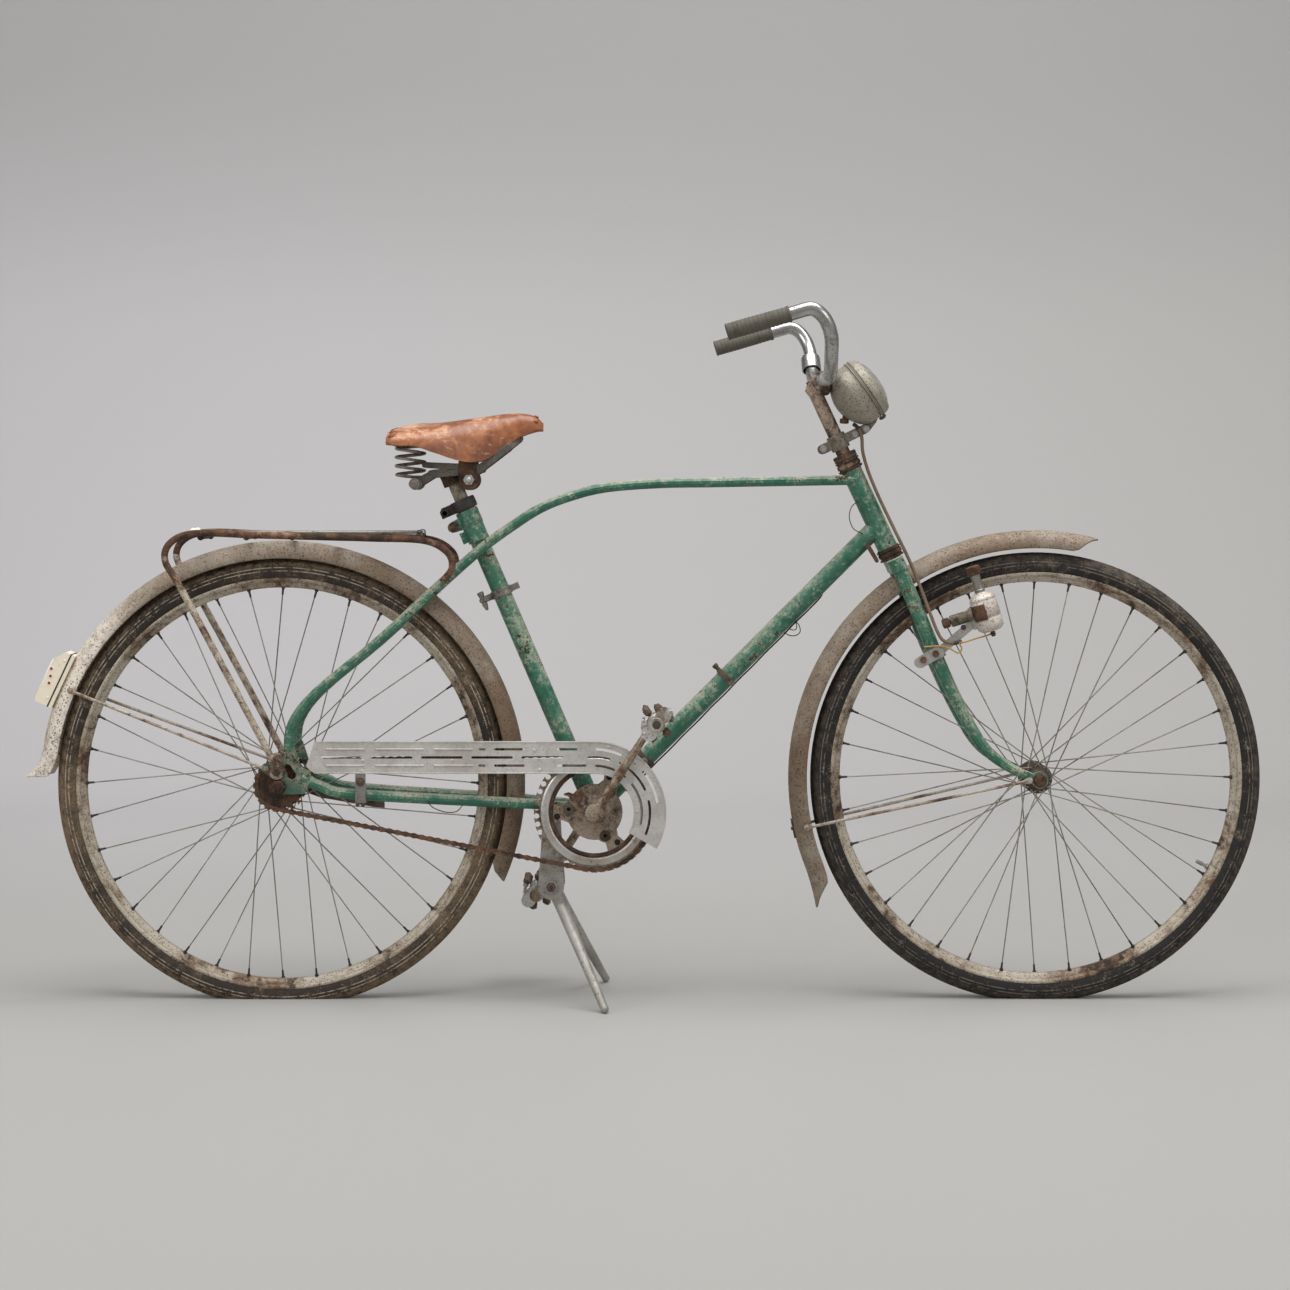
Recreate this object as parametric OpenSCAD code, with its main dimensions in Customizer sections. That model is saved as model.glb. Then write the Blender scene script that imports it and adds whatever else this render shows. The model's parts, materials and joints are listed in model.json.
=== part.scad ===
// Old roadster bicycle on its centre stand, in millimetres.
// X runs forward, Y to the rider's left, Z up from the ground.

/* [Wheels] */
// Distance between the two axles
wheelbase = 1167; // [1120:1:1420]
// Height of the rear axle, with the tyre gone soft
rear_axle_z = 333; // [325:1:360]
// Height of the front axle, with the tyre gone soft
front_axle_z = 342; // [325:1:360]
// Outer radius of both tyres
tyre_r = 350; // [343:1:352]
// Width of a tyre's round section
tyre_w = 40; // [30:1:44]
// Radius of the rim where the tyre sits
rim_seat_r = 319; // [312:1:322]
// Radial depth of the rim
rim_depth = 16; // [10:1:22]
// Width across the rim
rim_w = 31; // [24:1:33]
// Spokes in each wheel
spoke_count = 36; // [20:4:40]
// Diameter of a spoke
spoke_d = 2.2; // [1.6:0.1:3]

/* [Frame] */
// Bottom bracket ahead of the rear axle
bb_x = 484; // [475:1:600]
// Height of the bottom bracket
bb_z = 292.5; // [285:0.5:330]
// Seat tube from the bottom bracket to its top
seat_len = 505; // [495:1:620]
// Slope of the seat tube above the horizontal, in degrees
seat_angle = 66.7; // [62:0.1:74]
// Seat tube diameter
seat_tube_d = 28.6; // [25:0.2:32]
// Down tube diameter
down_tube_d = 28.6; // [24:0.2:35]
// Diameter of each of the twin tubes
twin_tube_d = 15.6; // [12:0.2:17]
// Chainstay diameter
chainstay_d = 17; // [12:0.5:18]
// Outer diameter of the head tube
head_tube_d = 32; // [30:0.5:40]
// Length of the head tube between its cups
head_len = 133; // [110:1:170]
// Slope of the steering axis above the horizontal, in degrees
head_angle = 65; // [62:0.5:72]

/* [Fork and bars] */
// Front axle to the lower headset cup, along the steering axis
fork_len = 410; // [404:1:440]
// Front axle ahead of the steering axis
fork_rake = 57; // [40:1:65]
// Steerer tube diameter
steerer_d = 25.4; // [22:0.2:26]
// Stem quill diameter
quill_d = 22; // [18:0.2:22.2]
// Handlebar centre above the lower headset cup, along the steering axis
bar_height = 287; // [270:1:340]
// Handlebar tube diameter
bar_d = 21; // [18:0.5:26]
// Half of the width over the grips
bar_reach = 258; // [230:1:310]
// Length of a grip
grip_len = 97; // [80:1:120]
// Thickness of a grip's rubber
grip_t = 1.9; // [1.4:0.1:6]
// Headlamp diameter
lamp_d = 99; // [80:1:120]

/* [Drive] */
// Teeth on the chainring
ring_teeth = 44; // [40:4:48]
// Teeth on the rear sprocket
sprocket_teeth = 18; // [16:1:20]
// Chain pitch
chain_pitch = 12.7; // [12.7:0.1:12.7]
// Distance of the chain from the middle of the bicycle
chain_line = 43; // [42:0.5:46]
// Crank length from axle to pedal pin
crank_len = 172; // [150:1:175]
// Angle of the right crank above the forward direction, in degrees
crank_angle = 57; // [0:1:90]
// Length of a pedal along its pin
pedal_len = 88; // [70:1:100]
// Width of the chain guard's band
guard_w = 50; // [40:1:56]

/* [Saddle] */
// Seat post diameter
post_d = 22; // [20:0.2:24]
// Length of the saddle
saddle_len = 238; // [200:1:300]
// Width of the saddle at the back
saddle_w = 190; // [150:1:230]

/* [Fenders, carrier and stand] */
// Width of both fenders
fender_w = 52; // [46:1:54]
// Outer radius of the front fender about its axle
front_fender_r = 383; // [380:1:386]
// Outer radius of the rear fender about its axle
rear_fender_r = 376; // [372:1:378]
// Sheet thickness of fenders and brackets
sheet = 1.5; // [1:0.1:3]
// Width of the carrier between its side tubes
carrier_w = 120; // [100:1:150]
// Diameter of the carrier's tubes
carrier_d = 11; // [8:0.5:14]
// Stand pivot behind the bottom bracket
stand_back = 67; // [60:1:80]
// Stand pivot above the ground
stand_z = 176; // [160:1:185]
// Distance between the stand's feet
stand_w = 280; // [200:1:320]

/* [Clearances] */
// Radial play of a turning fit
running = 0.05; // [0.02:0.01:0.1]
// Gap where a fitted piece rests on its seat
seat_gap = 0.3; // [0.1:0.05:0.5]
// Gap between tubes that are brazed together
joint_gap = 0.05; // [0.02:0.01:0.2]

/* [Hidden] */
$fn = 64;

// Colours
paint = "#3f8f74";
rusty = "#7a4a2c";
dull_steel = "#8d8a84";
bright = "#c9ccd2";
rubber = "#26241f";
leather = "#b0592a";
cream = "#d8cfb4";
alloy = "#a9a79f";
grip_rubber = "#6f6750";

// The bicycle is centred on its own length: the tail lamp ends it behind, the front tyre ahead.
tail_lamp_angle = 155;
tail_lamp_half = 44;
tail_lamp_deep = 24;
flare_from = 171.5;
flare_r = 70;
flare_turn = 43;
tail_x = (rear_fender_r + flare_r) * cos(flare_from) + flare_r * cos(flare_from + 180 - flare_turn);
origin_x = -(tail_x + wheelbase + tyre_r) / 2;

// Directions and key points in the X-Z plane
seat_dir = [-cos(seat_angle), sin(seat_angle)];
steer_up = [-cos(head_angle), sin(head_angle)];
steer_fwd = [sin(head_angle), cos(head_angle)];
rear_axle_at = [0, rear_axle_z];
front_axle_at = [wheelbase, front_axle_z];
bb_at = [bb_x, bb_z];
head_low = front_axle_at + fork_len * steer_up - fork_rake * steer_fwd;

// Headset, measured along the steering axis from the middle of the lower cup
cup_h = 18;
cup_r = head_tube_d / 2 + 3;
head_top = cup_h / 2 + head_len;
cups_top = head_top + cup_h;
steerer_r = steerer_d / 2;
quill_r = quill_d / 2;
nut_h = 9;
nut_top = cups_top + seat_gap + nut_h;
crown_half = 13;
crown_bottom = sqrt(pow(front_fender_r + seat_gap, 2) - pow(fork_rake - crown_half, 2)) - fork_len;
down_join = 46;
top_join = 125;
bar_x = 17;
bar_r = bar_d / 2;
grip_gap = 0.1;

// Frame
shell_r = 21;
shell_half = 34;
bb_axle_r = 8;
dropout_y = 56;
dropout_t = 6;
post_r = post_d / 2;
post_rise = 66;
post_depth = 120;
seat_cross = 441;
twin_r = twin_tube_d / 2;
twin_at_seat = seat_tube_d / 2 + twin_r + 2 * joint_gap;
stay_r = chainstay_d / 2;
seat_crossing = bb_at + seat_cross * seat_dir;
post_top = bb_at + (seat_len + post_rise) * seat_dir;
fender_round = fender_w / 2;
rear_fender_mid = rear_fender_r - fender_round;
front_fender_mid = front_fender_r - fender_round;
bridge_r = 6;
clip_band = 1.6;
bridge_angle = 51.4;
bridge_at = (rear_fender_r + seat_gap + bridge_r) * [cos(bridge_angle), sin(bridge_angle)] + rear_axle_at;

// Hubs and axles
rear_axle_r = 4.9;
front_axle_r = 4.7;
front_hub_half = 37;
front_lock_half = 50;
fork_end_t = 5;
flange_y = 28;
front_flange_r = 20;
rear_flange_r = 33;
rear_hub_half = 30;

// Drive
tooth_high = 4.4;
ring_pitch_r = chain_pitch / 2 / sin(180 / ring_teeth);
sprocket_pitch_r = chain_pitch / 2 / sin(180 / sprocket_teeth);
tooth_half = 1.4;
plate_t = 1.1;
plate_gap = 0.5;
plate_half = 4.2;
roller_r = 4;
roller_run = 2 * roller_r - 1;
ring_inner = 66;
spider_r = 43;
spider_arms = [182, 302, 62];
spider_bolt_turn = -8;
guard_y = -57;
guard_inner = 60;
slot_w = 3.8;
slot_pitch = 77;
guard_tip_angle = -30;
crank_y = 63.5;
crank_t = 11;
pin_r = 5;
pedal_y = 84;
pedal_plate_r = 31;

// Saddle, measured forward and up from the top of the seat post
saddle_back = -92;
saddle_clamp_at = [32, -14];

// Stand
stand_at = [bb_x - stand_back, stand_z];
foot_ahead = 83;
stand_half = 29.5;
stand_pin_r = 4.5;
foot_r = 6;
foot_at = [stand_at.x + foot_ahead, foot_r + 0.4];
knee_at = stand_at + 32 * unit(foot_at - stand_at);
knee_y = 17;

// Carrier
carrier_r = carrier_d / 2;
carrier_top = 716;
deck_r = 4;

// Wires: points chosen by hand along their real routes
lamp_cable_points = [
    [33, -5, 205], [36, -10, 198], [37, -11.5, 190], [34, -12, 178], [27, -13, 160], [22, -14, 130],
    [20, -15, 90], [20, -18, 50], [20, -26, 15],
    [20, -32, -20], [18, -37, -60], [14, -46, -100], [11, -54, -135], [13, -58, -152], [24, -60, -162],
    [38, -59, -166]
];
tail_wire_gap = 1.2;

// ---- Small helpers ----

function unit(v) = v / norm(v);
function on_xz(p, y) = [p.x, y, p.y];

// Point on a smooth curve through b and c, with a and d as their neighbours
function curve_point(a, b, c, d, t) =
    0.5 * (2 * b + (c - a) * t + (2 * a - 5 * b + 4 * c - d) * t * t + (3 * b - a - 3 * c + d) * t * t * t);

// Smooth curve through a list of points
function curve(p, steps) = concat(
    [for (i = [0 : len(p) - 2]) for (k = [0 : steps - 1])
        curve_point(p[max(i - 1, 0)], p[i], p[i + 1], p[min(i + 2, len(p) - 1)], k / steps)],
    [p[len(p) - 1]]);

function heading(p, i) = unit(p[min(i + 1, len(p) - 1)] - p[max(i - 1, 0)]);
function square_to(v, t) = unit(v - (v * t) * t);

// Side vectors carried along a path without twist
function side_vectors(p, seed) =
    [for (i = 0, n = square_to(seed, heading(p, 0)); i < len(p);
          i = i + 1, n = square_to(n, heading(p, min(i, len(p) - 1)))) n];

// Round tube along a path; radii is one number, or one for each point
module sweep(p, radii, sides = 12, seed = [0.13, 1, 0.21]) {
    n = side_vectors(p, seed);
    last = len(p) - 1;
    function radius(i) = is_list(radii) ? radii[min(i, len(radii) - 1)] : radii;
    rings = [for (i = [0 : last]) for (k = [0 : sides - 1])
        let (a = 360 * k / sides, b = cross(heading(p, i), n[i]))
        p[i] + radius(i) * (cos(a) * n[i] + sin(a) * b)];
    walls = [for (i = [0 : last - 1]) for (k = [0 : sides - 1])
        let (j = (k + 1) % sides)
        [i * sides + k, (i + 1) * sides + k, (i + 1) * sides + j, i * sides + j]];
    start = [[for (k = [0 : sides - 1]) k]];
    end = [[for (k = [sides - 1 : -1 : 0]) last * sides + k]];
    polyhedron(rings, concat(start, walls, end), convexity = 8);
}

// Straight rod between two points
module rod(a, b, r, r_end = -1) {
    d = b - a;
    translate(a)
        rotate([0, acos(d.z / norm(d)), atan2(d.y, d.x)])
            cylinder(h = norm(d), r1 = r, r2 = r_end < 0 ? r : r_end);
}

// Cylinder along Y, from y0 to y1, at a point of the X-Z plane
module across(at, r, y0, y1) {
    translate([at.x, y1, at.y])
        rotate([90, 0, 0])
            cylinder(h = y1 - y0, r = r);
}

// Flat outline in the X-Z plane given thickness from y0 to y1
module plate(y0, y1) {
    translate([0, y1, 0])
        rotate([90, 0, 0])
            linear_extrude(y1 - y0)
                children();
}

// Flat bar between two points of a drawing
module bar_2d(a, b, w) {
    translate(a)
        rotate(atan2(b.y - a.y, b.x - a.x))
            translate([0, -w / 2])
                square([norm(b - a), w]);
}

module both_sides() {
    children();
    mirror([0, 1, 0])
        children();
}

module on_steering() {
    translate([head_low.x, 0, head_low.y])
        rotate([0, head_angle - 90, 0])
            children();
}

module on_seat_tube() {
    translate([bb_x, 0, bb_z])
        rotate([0, seat_angle - 90, 0])
            children();
}

module on_post() {
    translate(on_xz(post_top, 0))
        children();
}

module bike() {
    translate([origin_x, 0, 0])
        children();
}

// ---- Frame ----

down_tube_top = head_low + down_join * steer_up;
down_dir = unit(down_tube_top - bb_at);
down_angle = atan2(down_dir.y, down_dir.x);

module on_down_tube() {
    translate([bb_x, 0, bb_z])
        rotate([0, 90 - down_angle, 0])
            children();
}

module head_solid(r) {
    on_steering()
        translate([0, 0, cup_h / 2])
            cylinder(h = head_len, r = r);
}

module head_tube() {
    color(paint)
        on_steering()
            translate([0, 0, cup_h / 2])
                difference() {
                    cylinder(h = head_len, r = head_tube_d / 2);
                    translate([0, 0, -1])
                        cylinder(h = head_len + 2, r = steerer_r + 1);
                }
}

module cup(z) {
    translate([0, 0, z])
        difference() {
            union() {
                cylinder(h = cup_h, r = cup_r - 1.5);
                translate([0, 0, cup_h / 3])
                    cylinder(h = cup_h / 3, r = cup_r);
            }
            translate([0, 0, -1])
                cylinder(h = cup_h + 2, r = steerer_r + running);
        }
}

module headset_cups() {
    color(rusty)
        on_steering() {
            cup(-cup_h / 2);
            cup(head_top);
        }
}

module down_tube() {
    color(paint)
        difference() {
            on_down_tube()
                cylinder(h = norm(down_tube_top - bb_at), r = down_tube_d / 2);
            head_solid(head_tube_d / 2 + joint_gap);
            across(bb_at, shell_r + joint_gap, -shell_half - 5, shell_half + 5);
            on_seat_tube()
                cylinder(h = 100, r = seat_tube_d / 2 + joint_gap);
        }
}

module seat_tube() {
    color(paint)
        difference() {
            on_seat_tube() {
                cylinder(h = seat_len, r = seat_tube_d / 2);
                translate([0, 0, seat_len - 52])
                    cylinder(h = 26, r = seat_tube_d / 2 + 2.5);
                translate([-seat_tube_d / 2 - 10, -7, seat_len - 48])
                    cube([12, 14, 18]);
            }
            on_seat_tube()
                translate([0, 0, seat_len - post_depth])
                    cylinder(h = post_depth + 1, r = post_r + running);
            across(bb_at, shell_r + joint_gap, -shell_half - 5, shell_half + 5);
        }
}

module bottom_bracket_shell() {
    color(paint)
        difference() {
            across(bb_at, shell_r, -shell_half, shell_half);
            across(bb_at, bb_axle_r + running, -shell_half - 1, shell_half + 1);
        }
}

// One of the twin tubes: level from the head, down past the seat tube, and on as a seat stay
function twin_path(side) =
    let (head = on_xz(head_low + top_join * steer_up, side * 9),
         bend = on_xz(seat_crossing + [275, 100], side * (twin_at_seat - 1.5)))
    curve(concat(
        [for (t = [0 : 0.25 : 1]) head + t * (bend - head)],
        [for (p = [[192, 93.5], [135, 79.5], [90, 61.5], [48, 35], [0, 0]])
            on_xz(seat_crossing + p, side * twin_at_seat)],
        [on_xz(seat_crossing + [-64, -56], side * (fender_round + 5.2)),
         on_xz(rear_axle_at + [152, 222], side * 40),
         on_xz(rear_axle_at + [57, 143], side * 50),
         on_xz(rear_axle_at + [21, 96], side * 56),
         on_xz(rear_axle_at + [15, 56], side * (dropout_y + dropout_t / 2))]), 4);

module twin_tube(side) {
    color(paint)
        difference() {
            sweep(twin_path(side), twin_r);
            head_solid(head_tube_d / 2 + joint_gap);
            dropout_blank(side, joint_gap);
            translate([0, side > 0 ? -50 : 0, 0])
                translate([seat_crossing.x, 0, 0])
                    cube([head_low.x, 50, head_low.y + head_len]);
        }
}

module right_twin_tube() { twin_tube(-1); }
module left_twin_tube() { twin_tube(1); }

function chainstay_path(side) = curve([
    on_xz(rear_axle_at + [34, 14], side * (dropout_y + dropout_t / 2 - 3)),
    on_xz(rear_axle_at + [66, -1], side * 51),
    on_xz(rear_axle_at + [114, -13], side * 47),
    on_xz([rear_fender_mid, rear_axle_z - 27], side * (fender_round + stay_r + 1)),
    on_xz([rear_fender_mid + 28, rear_axle_z - 29], side * (fender_round + 5)),
    on_xz([bb_x - 74, bb_z + 9], side * 28),
    on_xz([bb_x, bb_z + 3], side * 25)
], 4);

module chainstay(side) {
    color(paint)
        difference() {
            sweep(chainstay_path(side), [for (i = [0 : 24]) stay_r - max(0, i - 11) * 0.09]);
            across(bb_at, shell_r + joint_gap, -shell_half - 5, shell_half + 5);
            dropout_blank(side, joint_gap);
        }
}

module right_chainstay() { chainstay(-1); }
module left_chainstay() { chainstay(1); }

// Outline of a rear dropout about the axle
module dropout_2d() {
    polygon([[-24, 20], [-10, 36], [4, 62], [24, 60], [34, 30], [50, 22], [46, 2], [40, -11], [6, -12],
             [-8, -6]]);
    translate([-18, 27])
        circle(9);
}

module dropout_blank(side, grow) {
    y0 = side > 0 ? dropout_y - grow : -dropout_y - dropout_t - grow;
    translate([0, 0, rear_axle_z])
        plate(y0, y0 + dropout_t + 2 * grow)
            dropout_2d();
}

module rear_dropouts() {
    color(paint)
        both_sides()
            difference() {
                dropout_blank(1, 0);
                across(rear_axle_at, rear_axle_r + running, 0, 100);
                translate([0, 0, rear_axle_z])
                    rotate([0, 35, 0])
                        translate([-40, 0, -rear_axle_r - running])
                            cube([40, 100, 2 * (rear_axle_r + running)]);
                translate([0, 0, rear_axle_z])
                    plate(0, 100) {
                        translate([14, 30])
                            circle(5);
                        translate([20, 18])
                            circle(7);
                        bar_2d([14, 30], [20, 18], 11);
                        translate([-18, 27])
                            circle(3);
                    }
            }
}

module stay_bridges() {
    y_top = fender_round + 5.2 - twin_r;
    color(paint) {
        difference() {
            across(bridge_at, bridge_r, -y_top - 6, y_top + 6);
            sweep(twin_path(1), twin_r + joint_gap);
            sweep(twin_path(-1), twin_r + joint_gap);
        }
        difference() {
            across([bb_x - 84, bb_z + 9.5], bridge_r, -24, 24);
            sweep(chainstay_path(1), stay_r + joint_gap);
            sweep(chainstay_path(-1), stay_r + joint_gap);
        }
    }
}

module clamp_ring(r_in, wall, h, z) {
    translate([0, 0, z])
        difference() {
            cylinder(h = h, r = r_in + wall);
            translate([0, 0, -1])
                cylinder(h = h + 2, r = r_in);
        }
}

module seat_collar() {
    color(rusty)
        on_seat_tube() {
            clamp_ring(seat_tube_d / 2 + joint_gap, 5, 24, seat_len - 25);
            translate([-seat_tube_d / 2 - 18, -8, seat_len - 22])
                cube([14, 16, 14]);
            translate([-seat_tube_d / 2 - 11, 14, seat_len - 15])
                rotate([90, 0, 0])
                    cylinder(h = 28, r = 4);
        }
}

module seat_post() {
    color(dull_steel)
        on_seat_tube()
            translate([0, 0, seat_len - post_depth + 1])
                cylinder(h = post_depth + post_rise, r = post_r);
}

// ---- Saddle ----

// Saddle shape from its back edge (u = 0) to its nose (u = 1) and across (v from -1 to 1)
function saddle_half(u) = saddle_w / 2 * (0.17 + 0.83 * pow(cos(90 * min(1, pow(u, 0.8) * 1.02)), 1.6));
function saddle_top(u) = 69 + 20 * u + 8 * sin(180 * pow(u, 1.5)) - 18 * pow(u, 9);
function saddle_skirt(u) = 30 + 40 * pow(sin(180 * min(1, u * 1.05)), 1.5) - 12 * pow(u, 4);
function saddle_point(u, v, inset) = let (a = 90 * v, w = saddle_half(u) - inset)
    [saddle_back + saddle_len * u, w * sin(a),
     saddle_top(u) - inset - (saddle_skirt(u) - (abs(v) > 0.99 ? inset : 0)) * (1 - pow(cos(a), 0.7))];

module saddle_leather() {
    nu = 12;
    nv = 12;
    skin = 4;
    outer = [for (i = [0 : nu]) for (j = [0 : nv]) saddle_point(i / nu, 2 * j / nv - 1, 0)];
    inner = [for (i = [0 : nu]) for (j = [0 : nv]) saddle_point(i / nu, 2 * j / nv - 1, skin)];
    row = nv + 1;
    total = (nu + 1) * row;
    quads = [for (i = [0 : nu - 1]) for (j = [0 : nv - 1])
        [i * row + j, i * row + j + 1, (i + 1) * row + j + 1, (i + 1) * row + j]];
    rim_side = [for (i = [0 : nu - 1]) for (j = [0, nv])
        let (a = i * row + j, b = (i + 1) * row + j)
        j == 0 ? [a, b, b + total, a + total] : [b, a, a + total, b + total]];
    rim_end = [for (j = [0 : nv - 1]) for (i = [0, nu])
        let (a = i * row + j, b = i * row + j + 1)
        i == 0 ? [b, a, a + total, b + total] : [a, b, b + total, a + total]];
    color(leather)
        on_post()
            polyhedron(concat(outer, inner),
                concat(quads, [for (q = quads) [total + q[3], total + q[2], total + q[1], total + q[0]]],
                       rim_side, rim_end), convexity = 6);
}

rail_y = 30;
spring_r = 19;
spring_wire_r = 2.2;
spring_low = -11.5;
spring_high = 46.5;
spring_x = -60;
roller_at = [-50, -20];
nose_at = [110, 50];

module saddle_frame() {
    color(dull_steel)
        on_post() {
            both_sides()
                plate(rail_y - 2, rail_y + 2) {
                    bar_2d(roller_at, [-24, -5], 12);
                    bar_2d([-26, -5], [48, 3], 13);
                    bar_2d([-36, 9], [42, 5], 9);
                    bar_2d([42, -1], nose_at - [0, 1], 10);
                }
            across(nose_at, 5, -14, 14);
            rod(on_xz(nose_at, 0), [118.6, 0, 79], 4);
            // Cantle plate under the back of the leather, shaped to it
            translate([saddle_back + 0.08 * saddle_len, 0, 0])
                rotate([90, 0, 90])
                    linear_extrude(0.05 * saddle_len)
                        polygon(concat(
                            [for (v = [-0.8 : 0.1 : 0.81]) let (p = saddle_point(0.13, v, 6)) [p.y, p.z]],
                            [for (v = [0.8 : -0.1 : -0.81]) let (p = saddle_point(0.13, v, 10)) [p.y, p.z]]));
            plate(-rail_y, rail_y)
                translate([38, -2])
                    square([12, 6]);
            both_sides()
                rod([108, 14, 48], [92, rail_y, 36], 4);
            across(roller_at, 6, -72, 72);
            // Clamp on the seat post
            difference() {
                across(saddle_clamp_at, 15.5, -rail_y - 8, rail_y + 8);
                post_hole();
            }
            difference() {
                rotate([0, seat_angle - 90, 0])
                    translate([0, 0, -24])
                        cylinder(h = 24, r = post_r + 6);
                post_hole();
            }
        }
}

module post_hole() {
    rotate([0, seat_angle - 90, 0])
        translate([0, 0, -200])
            cylinder(h = 400, r = post_r + running);
}

module saddle_springs() {
    turns = 3.5;
    steps = 42;
    color(dull_steel)
        on_post()
            both_sides()
                sweep([for (i = [0 : steps])
                           let (a = 360 * turns * i / steps)
                           [spring_x + spring_r * cos(a), 52 + spring_r * sin(a),
                            spring_low + (spring_high - spring_low) * i / steps]],
                      spring_wire_r, 8, [0, 0, 1]);
}

// ---- Drive ----

chain_gap_c = bb_at - rear_axle_at;
chain_span = norm(chain_gap_c);
chain_tilt = atan2(chain_gap_c.y, chain_gap_c.x);
chain_cone = asin((ring_pitch_r - sprocket_pitch_r) / chain_span);
upper_normal = [cos(chain_tilt + 90 + chain_cone), sin(chain_tilt + 90 + chain_cone)];
lower_normal = [cos(chain_tilt - 90 - chain_cone), sin(chain_tilt - 90 - chain_cone)];

// Loop about sprocket and chainring, grown by d
module loop_2d(d) {
    back = 180 - 2 * chain_cone;
    front = 180 + 2 * chain_cone;
    start = chain_tilt + 90 + chain_cone;
    polygon(concat(
        [for (i = [0 : sprocket_teeth]) let (a = start + back * i / sprocket_teeth)
            rear_axle_at + (sprocket_pitch_r + d) * [cos(a), sin(a)]],
        [for (i = [0 : ring_teeth]) let (a = start + back + front * i / ring_teeth)
            bb_at + (ring_pitch_r + d) * [cos(a), sin(a)]]));
}

// How far from its tangent point a straight run is clear of the teeth of a disc
function clear_of_teeth(pitch_r) =
    sqrt(pow(pitch_r + tooth_high, 2) - pow(pitch_r - roller_run / 2, 2)) + 1;

module chain_run(normal) {
    a = rear_axle_at + sprocket_pitch_r * normal;
    b = bb_at + ring_pitch_r * normal;
    along = unit(b - a);
    bar_2d(a + clear_of_teeth(sprocket_pitch_r) * along, b - clear_of_teeth(ring_pitch_r) * along, roller_run);
}

module chain() {
    inner = tooth_half + plate_gap;
    color(rusty) {
        for (y = [-chain_line - inner - plate_t, -chain_line + inner])
            plate(y, y + plate_t)
                difference() {
                    loop_2d(plate_half);
                    loop_2d(-plate_half);
                }
        plate(-chain_line - inner, -chain_line + inner) {
            chain_run(upper_normal);
            chain_run(lower_normal);
        }
    }
}

// Toothed disc about the origin of a drawing
module teeth_2d(count, pitch_r) {
    difference() {
        circle(pitch_r + tooth_high);
        for (i = [0 : count - 1])
            rotate((i + 0.5) * 360 / count)
                translate([pitch_r + 0.6, 0])
                    circle(roller_r + 0.2);
    }
}

module rear_sprocket() {
    color(rusty)
        difference() {
            union() {
                translate([0, 0, rear_axle_z])
                    plate(-chain_line - tooth_half, -chain_line + tooth_half)
                        teeth_2d(sprocket_teeth, sprocket_pitch_r);
                across(rear_axle_at, 17, -chain_line - 4, -rear_hub_half - seat_gap);
            }
            across(rear_axle_at, rear_axle_r + running, -chain_line - 10, 0);
        }
}

// Spider: a disc, three arms that flare into the ring, and the ears of its bolts
module spider_2d() {
    circle(spider_r);
    for (a = spider_arms)
        rotate(a)
            polygon([[36, -17], [50, -11], [60, -14], [74, -24], [74, 24], [60, 14], [50, 11], [36, 17]]);
    for (a = spider_arms)
        rotate(a + spider_bolt_turn)
            translate([spider_r - 5, 0])
                circle(12);
}

module chainring() {
    color(dull_steel)
        translate([bb_x, 0, bb_z])
            plate(-chain_line - tooth_half, -chain_line + tooth_half)
                difference() {
                    union() {
                        difference() {
                            teeth_2d(ring_teeth, ring_pitch_r);
                            circle(ring_inner);
                        }
                        intersection() {
                            spider_2d();
                            circle(ring_inner + 4);
                        }
                    }
                    circle(bb_axle_r + 5);
                    for (a = spider_arms) {
                        rotate(a)
                            translate([58, 5])
                                circle(5);
                        rotate(a + spider_bolt_turn)
                            translate([spider_r - 3, 0])
                                circle(4);
                    }
                }
}

// Crank arm in the X-Z plane, pointing along +X from the bottom bracket
module crank_arm_2d() {
    circle(15);
    polygon([[0, 9], [crank_len, 6.5], [crank_len, -6.5], [0, -9]]);
    translate([crank_len, 0])
        circle(10);
}

module crank(angle, side) {
    y_in = side < 0 ? -crank_y - crank_t : crank_y;
    tip = bb_at + crank_len * [cos(angle), sin(angle)];
    color(dull_steel) {
        translate([bb_x, 0, bb_z])
            rotate([0, -angle, 0])
                plate(y_in, y_in + crank_t)
                    crank_arm_2d();
        if (side < 0) {
            across(bb_at, 14, -crank_y - 2, -chain_line - tooth_half - joint_gap);
            across(bb_at, bb_axle_r + 5 - joint_gap, -crank_y, -shell_half - seat_gap);
            across(bb_at, bb_axle_r, -crank_y, crank_y - 14);
            across(tip, pin_r, -pedal_y - pedal_len, -crank_y - crank_t + 2);
        } else {
            difference() {
                across(bb_at, 14, shell_half + seat_gap, crank_y + 2);
                across(bb_at, bb_axle_r + joint_gap, 0, crank_y - 14 + joint_gap);
            }
            across(tip, pin_r, crank_y + crank_t - 2, pedal_y + pedal_len);
        }
    }
}

module right_crank() { crank(crank_angle, -1); }
module left_crank() { crank(crank_angle + 180, 1); }

// Pedal about its own pin, outboard along +Y
module pedal_body() {
    difference() {
        union() {
            across([0, 0], 10, 0, pedal_len);
            for (y = [2, pedal_len - 4])
                plate(y, y + 2)
                    for (a = [0 : 60 : 300])
                        rotate(a) {
                            translate([pedal_plate_r - 6, 0])
                                circle(6);
                            translate([0, -4])
                                square([pedal_plate_r - 6, 8]);
                        }
            for (a = [0 : 60 : 300])
                rotate([0, -a, 0])
                    translate([pedal_plate_r - 14, 3, -4.5])
                        cube([10, pedal_len - 6, 9]);
            across([0, 0], 8, pedal_len, pedal_len + 5);
        }
        across([0, 0], pin_r + running, -1, pedal_len + 0.5);
    }
}

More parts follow.
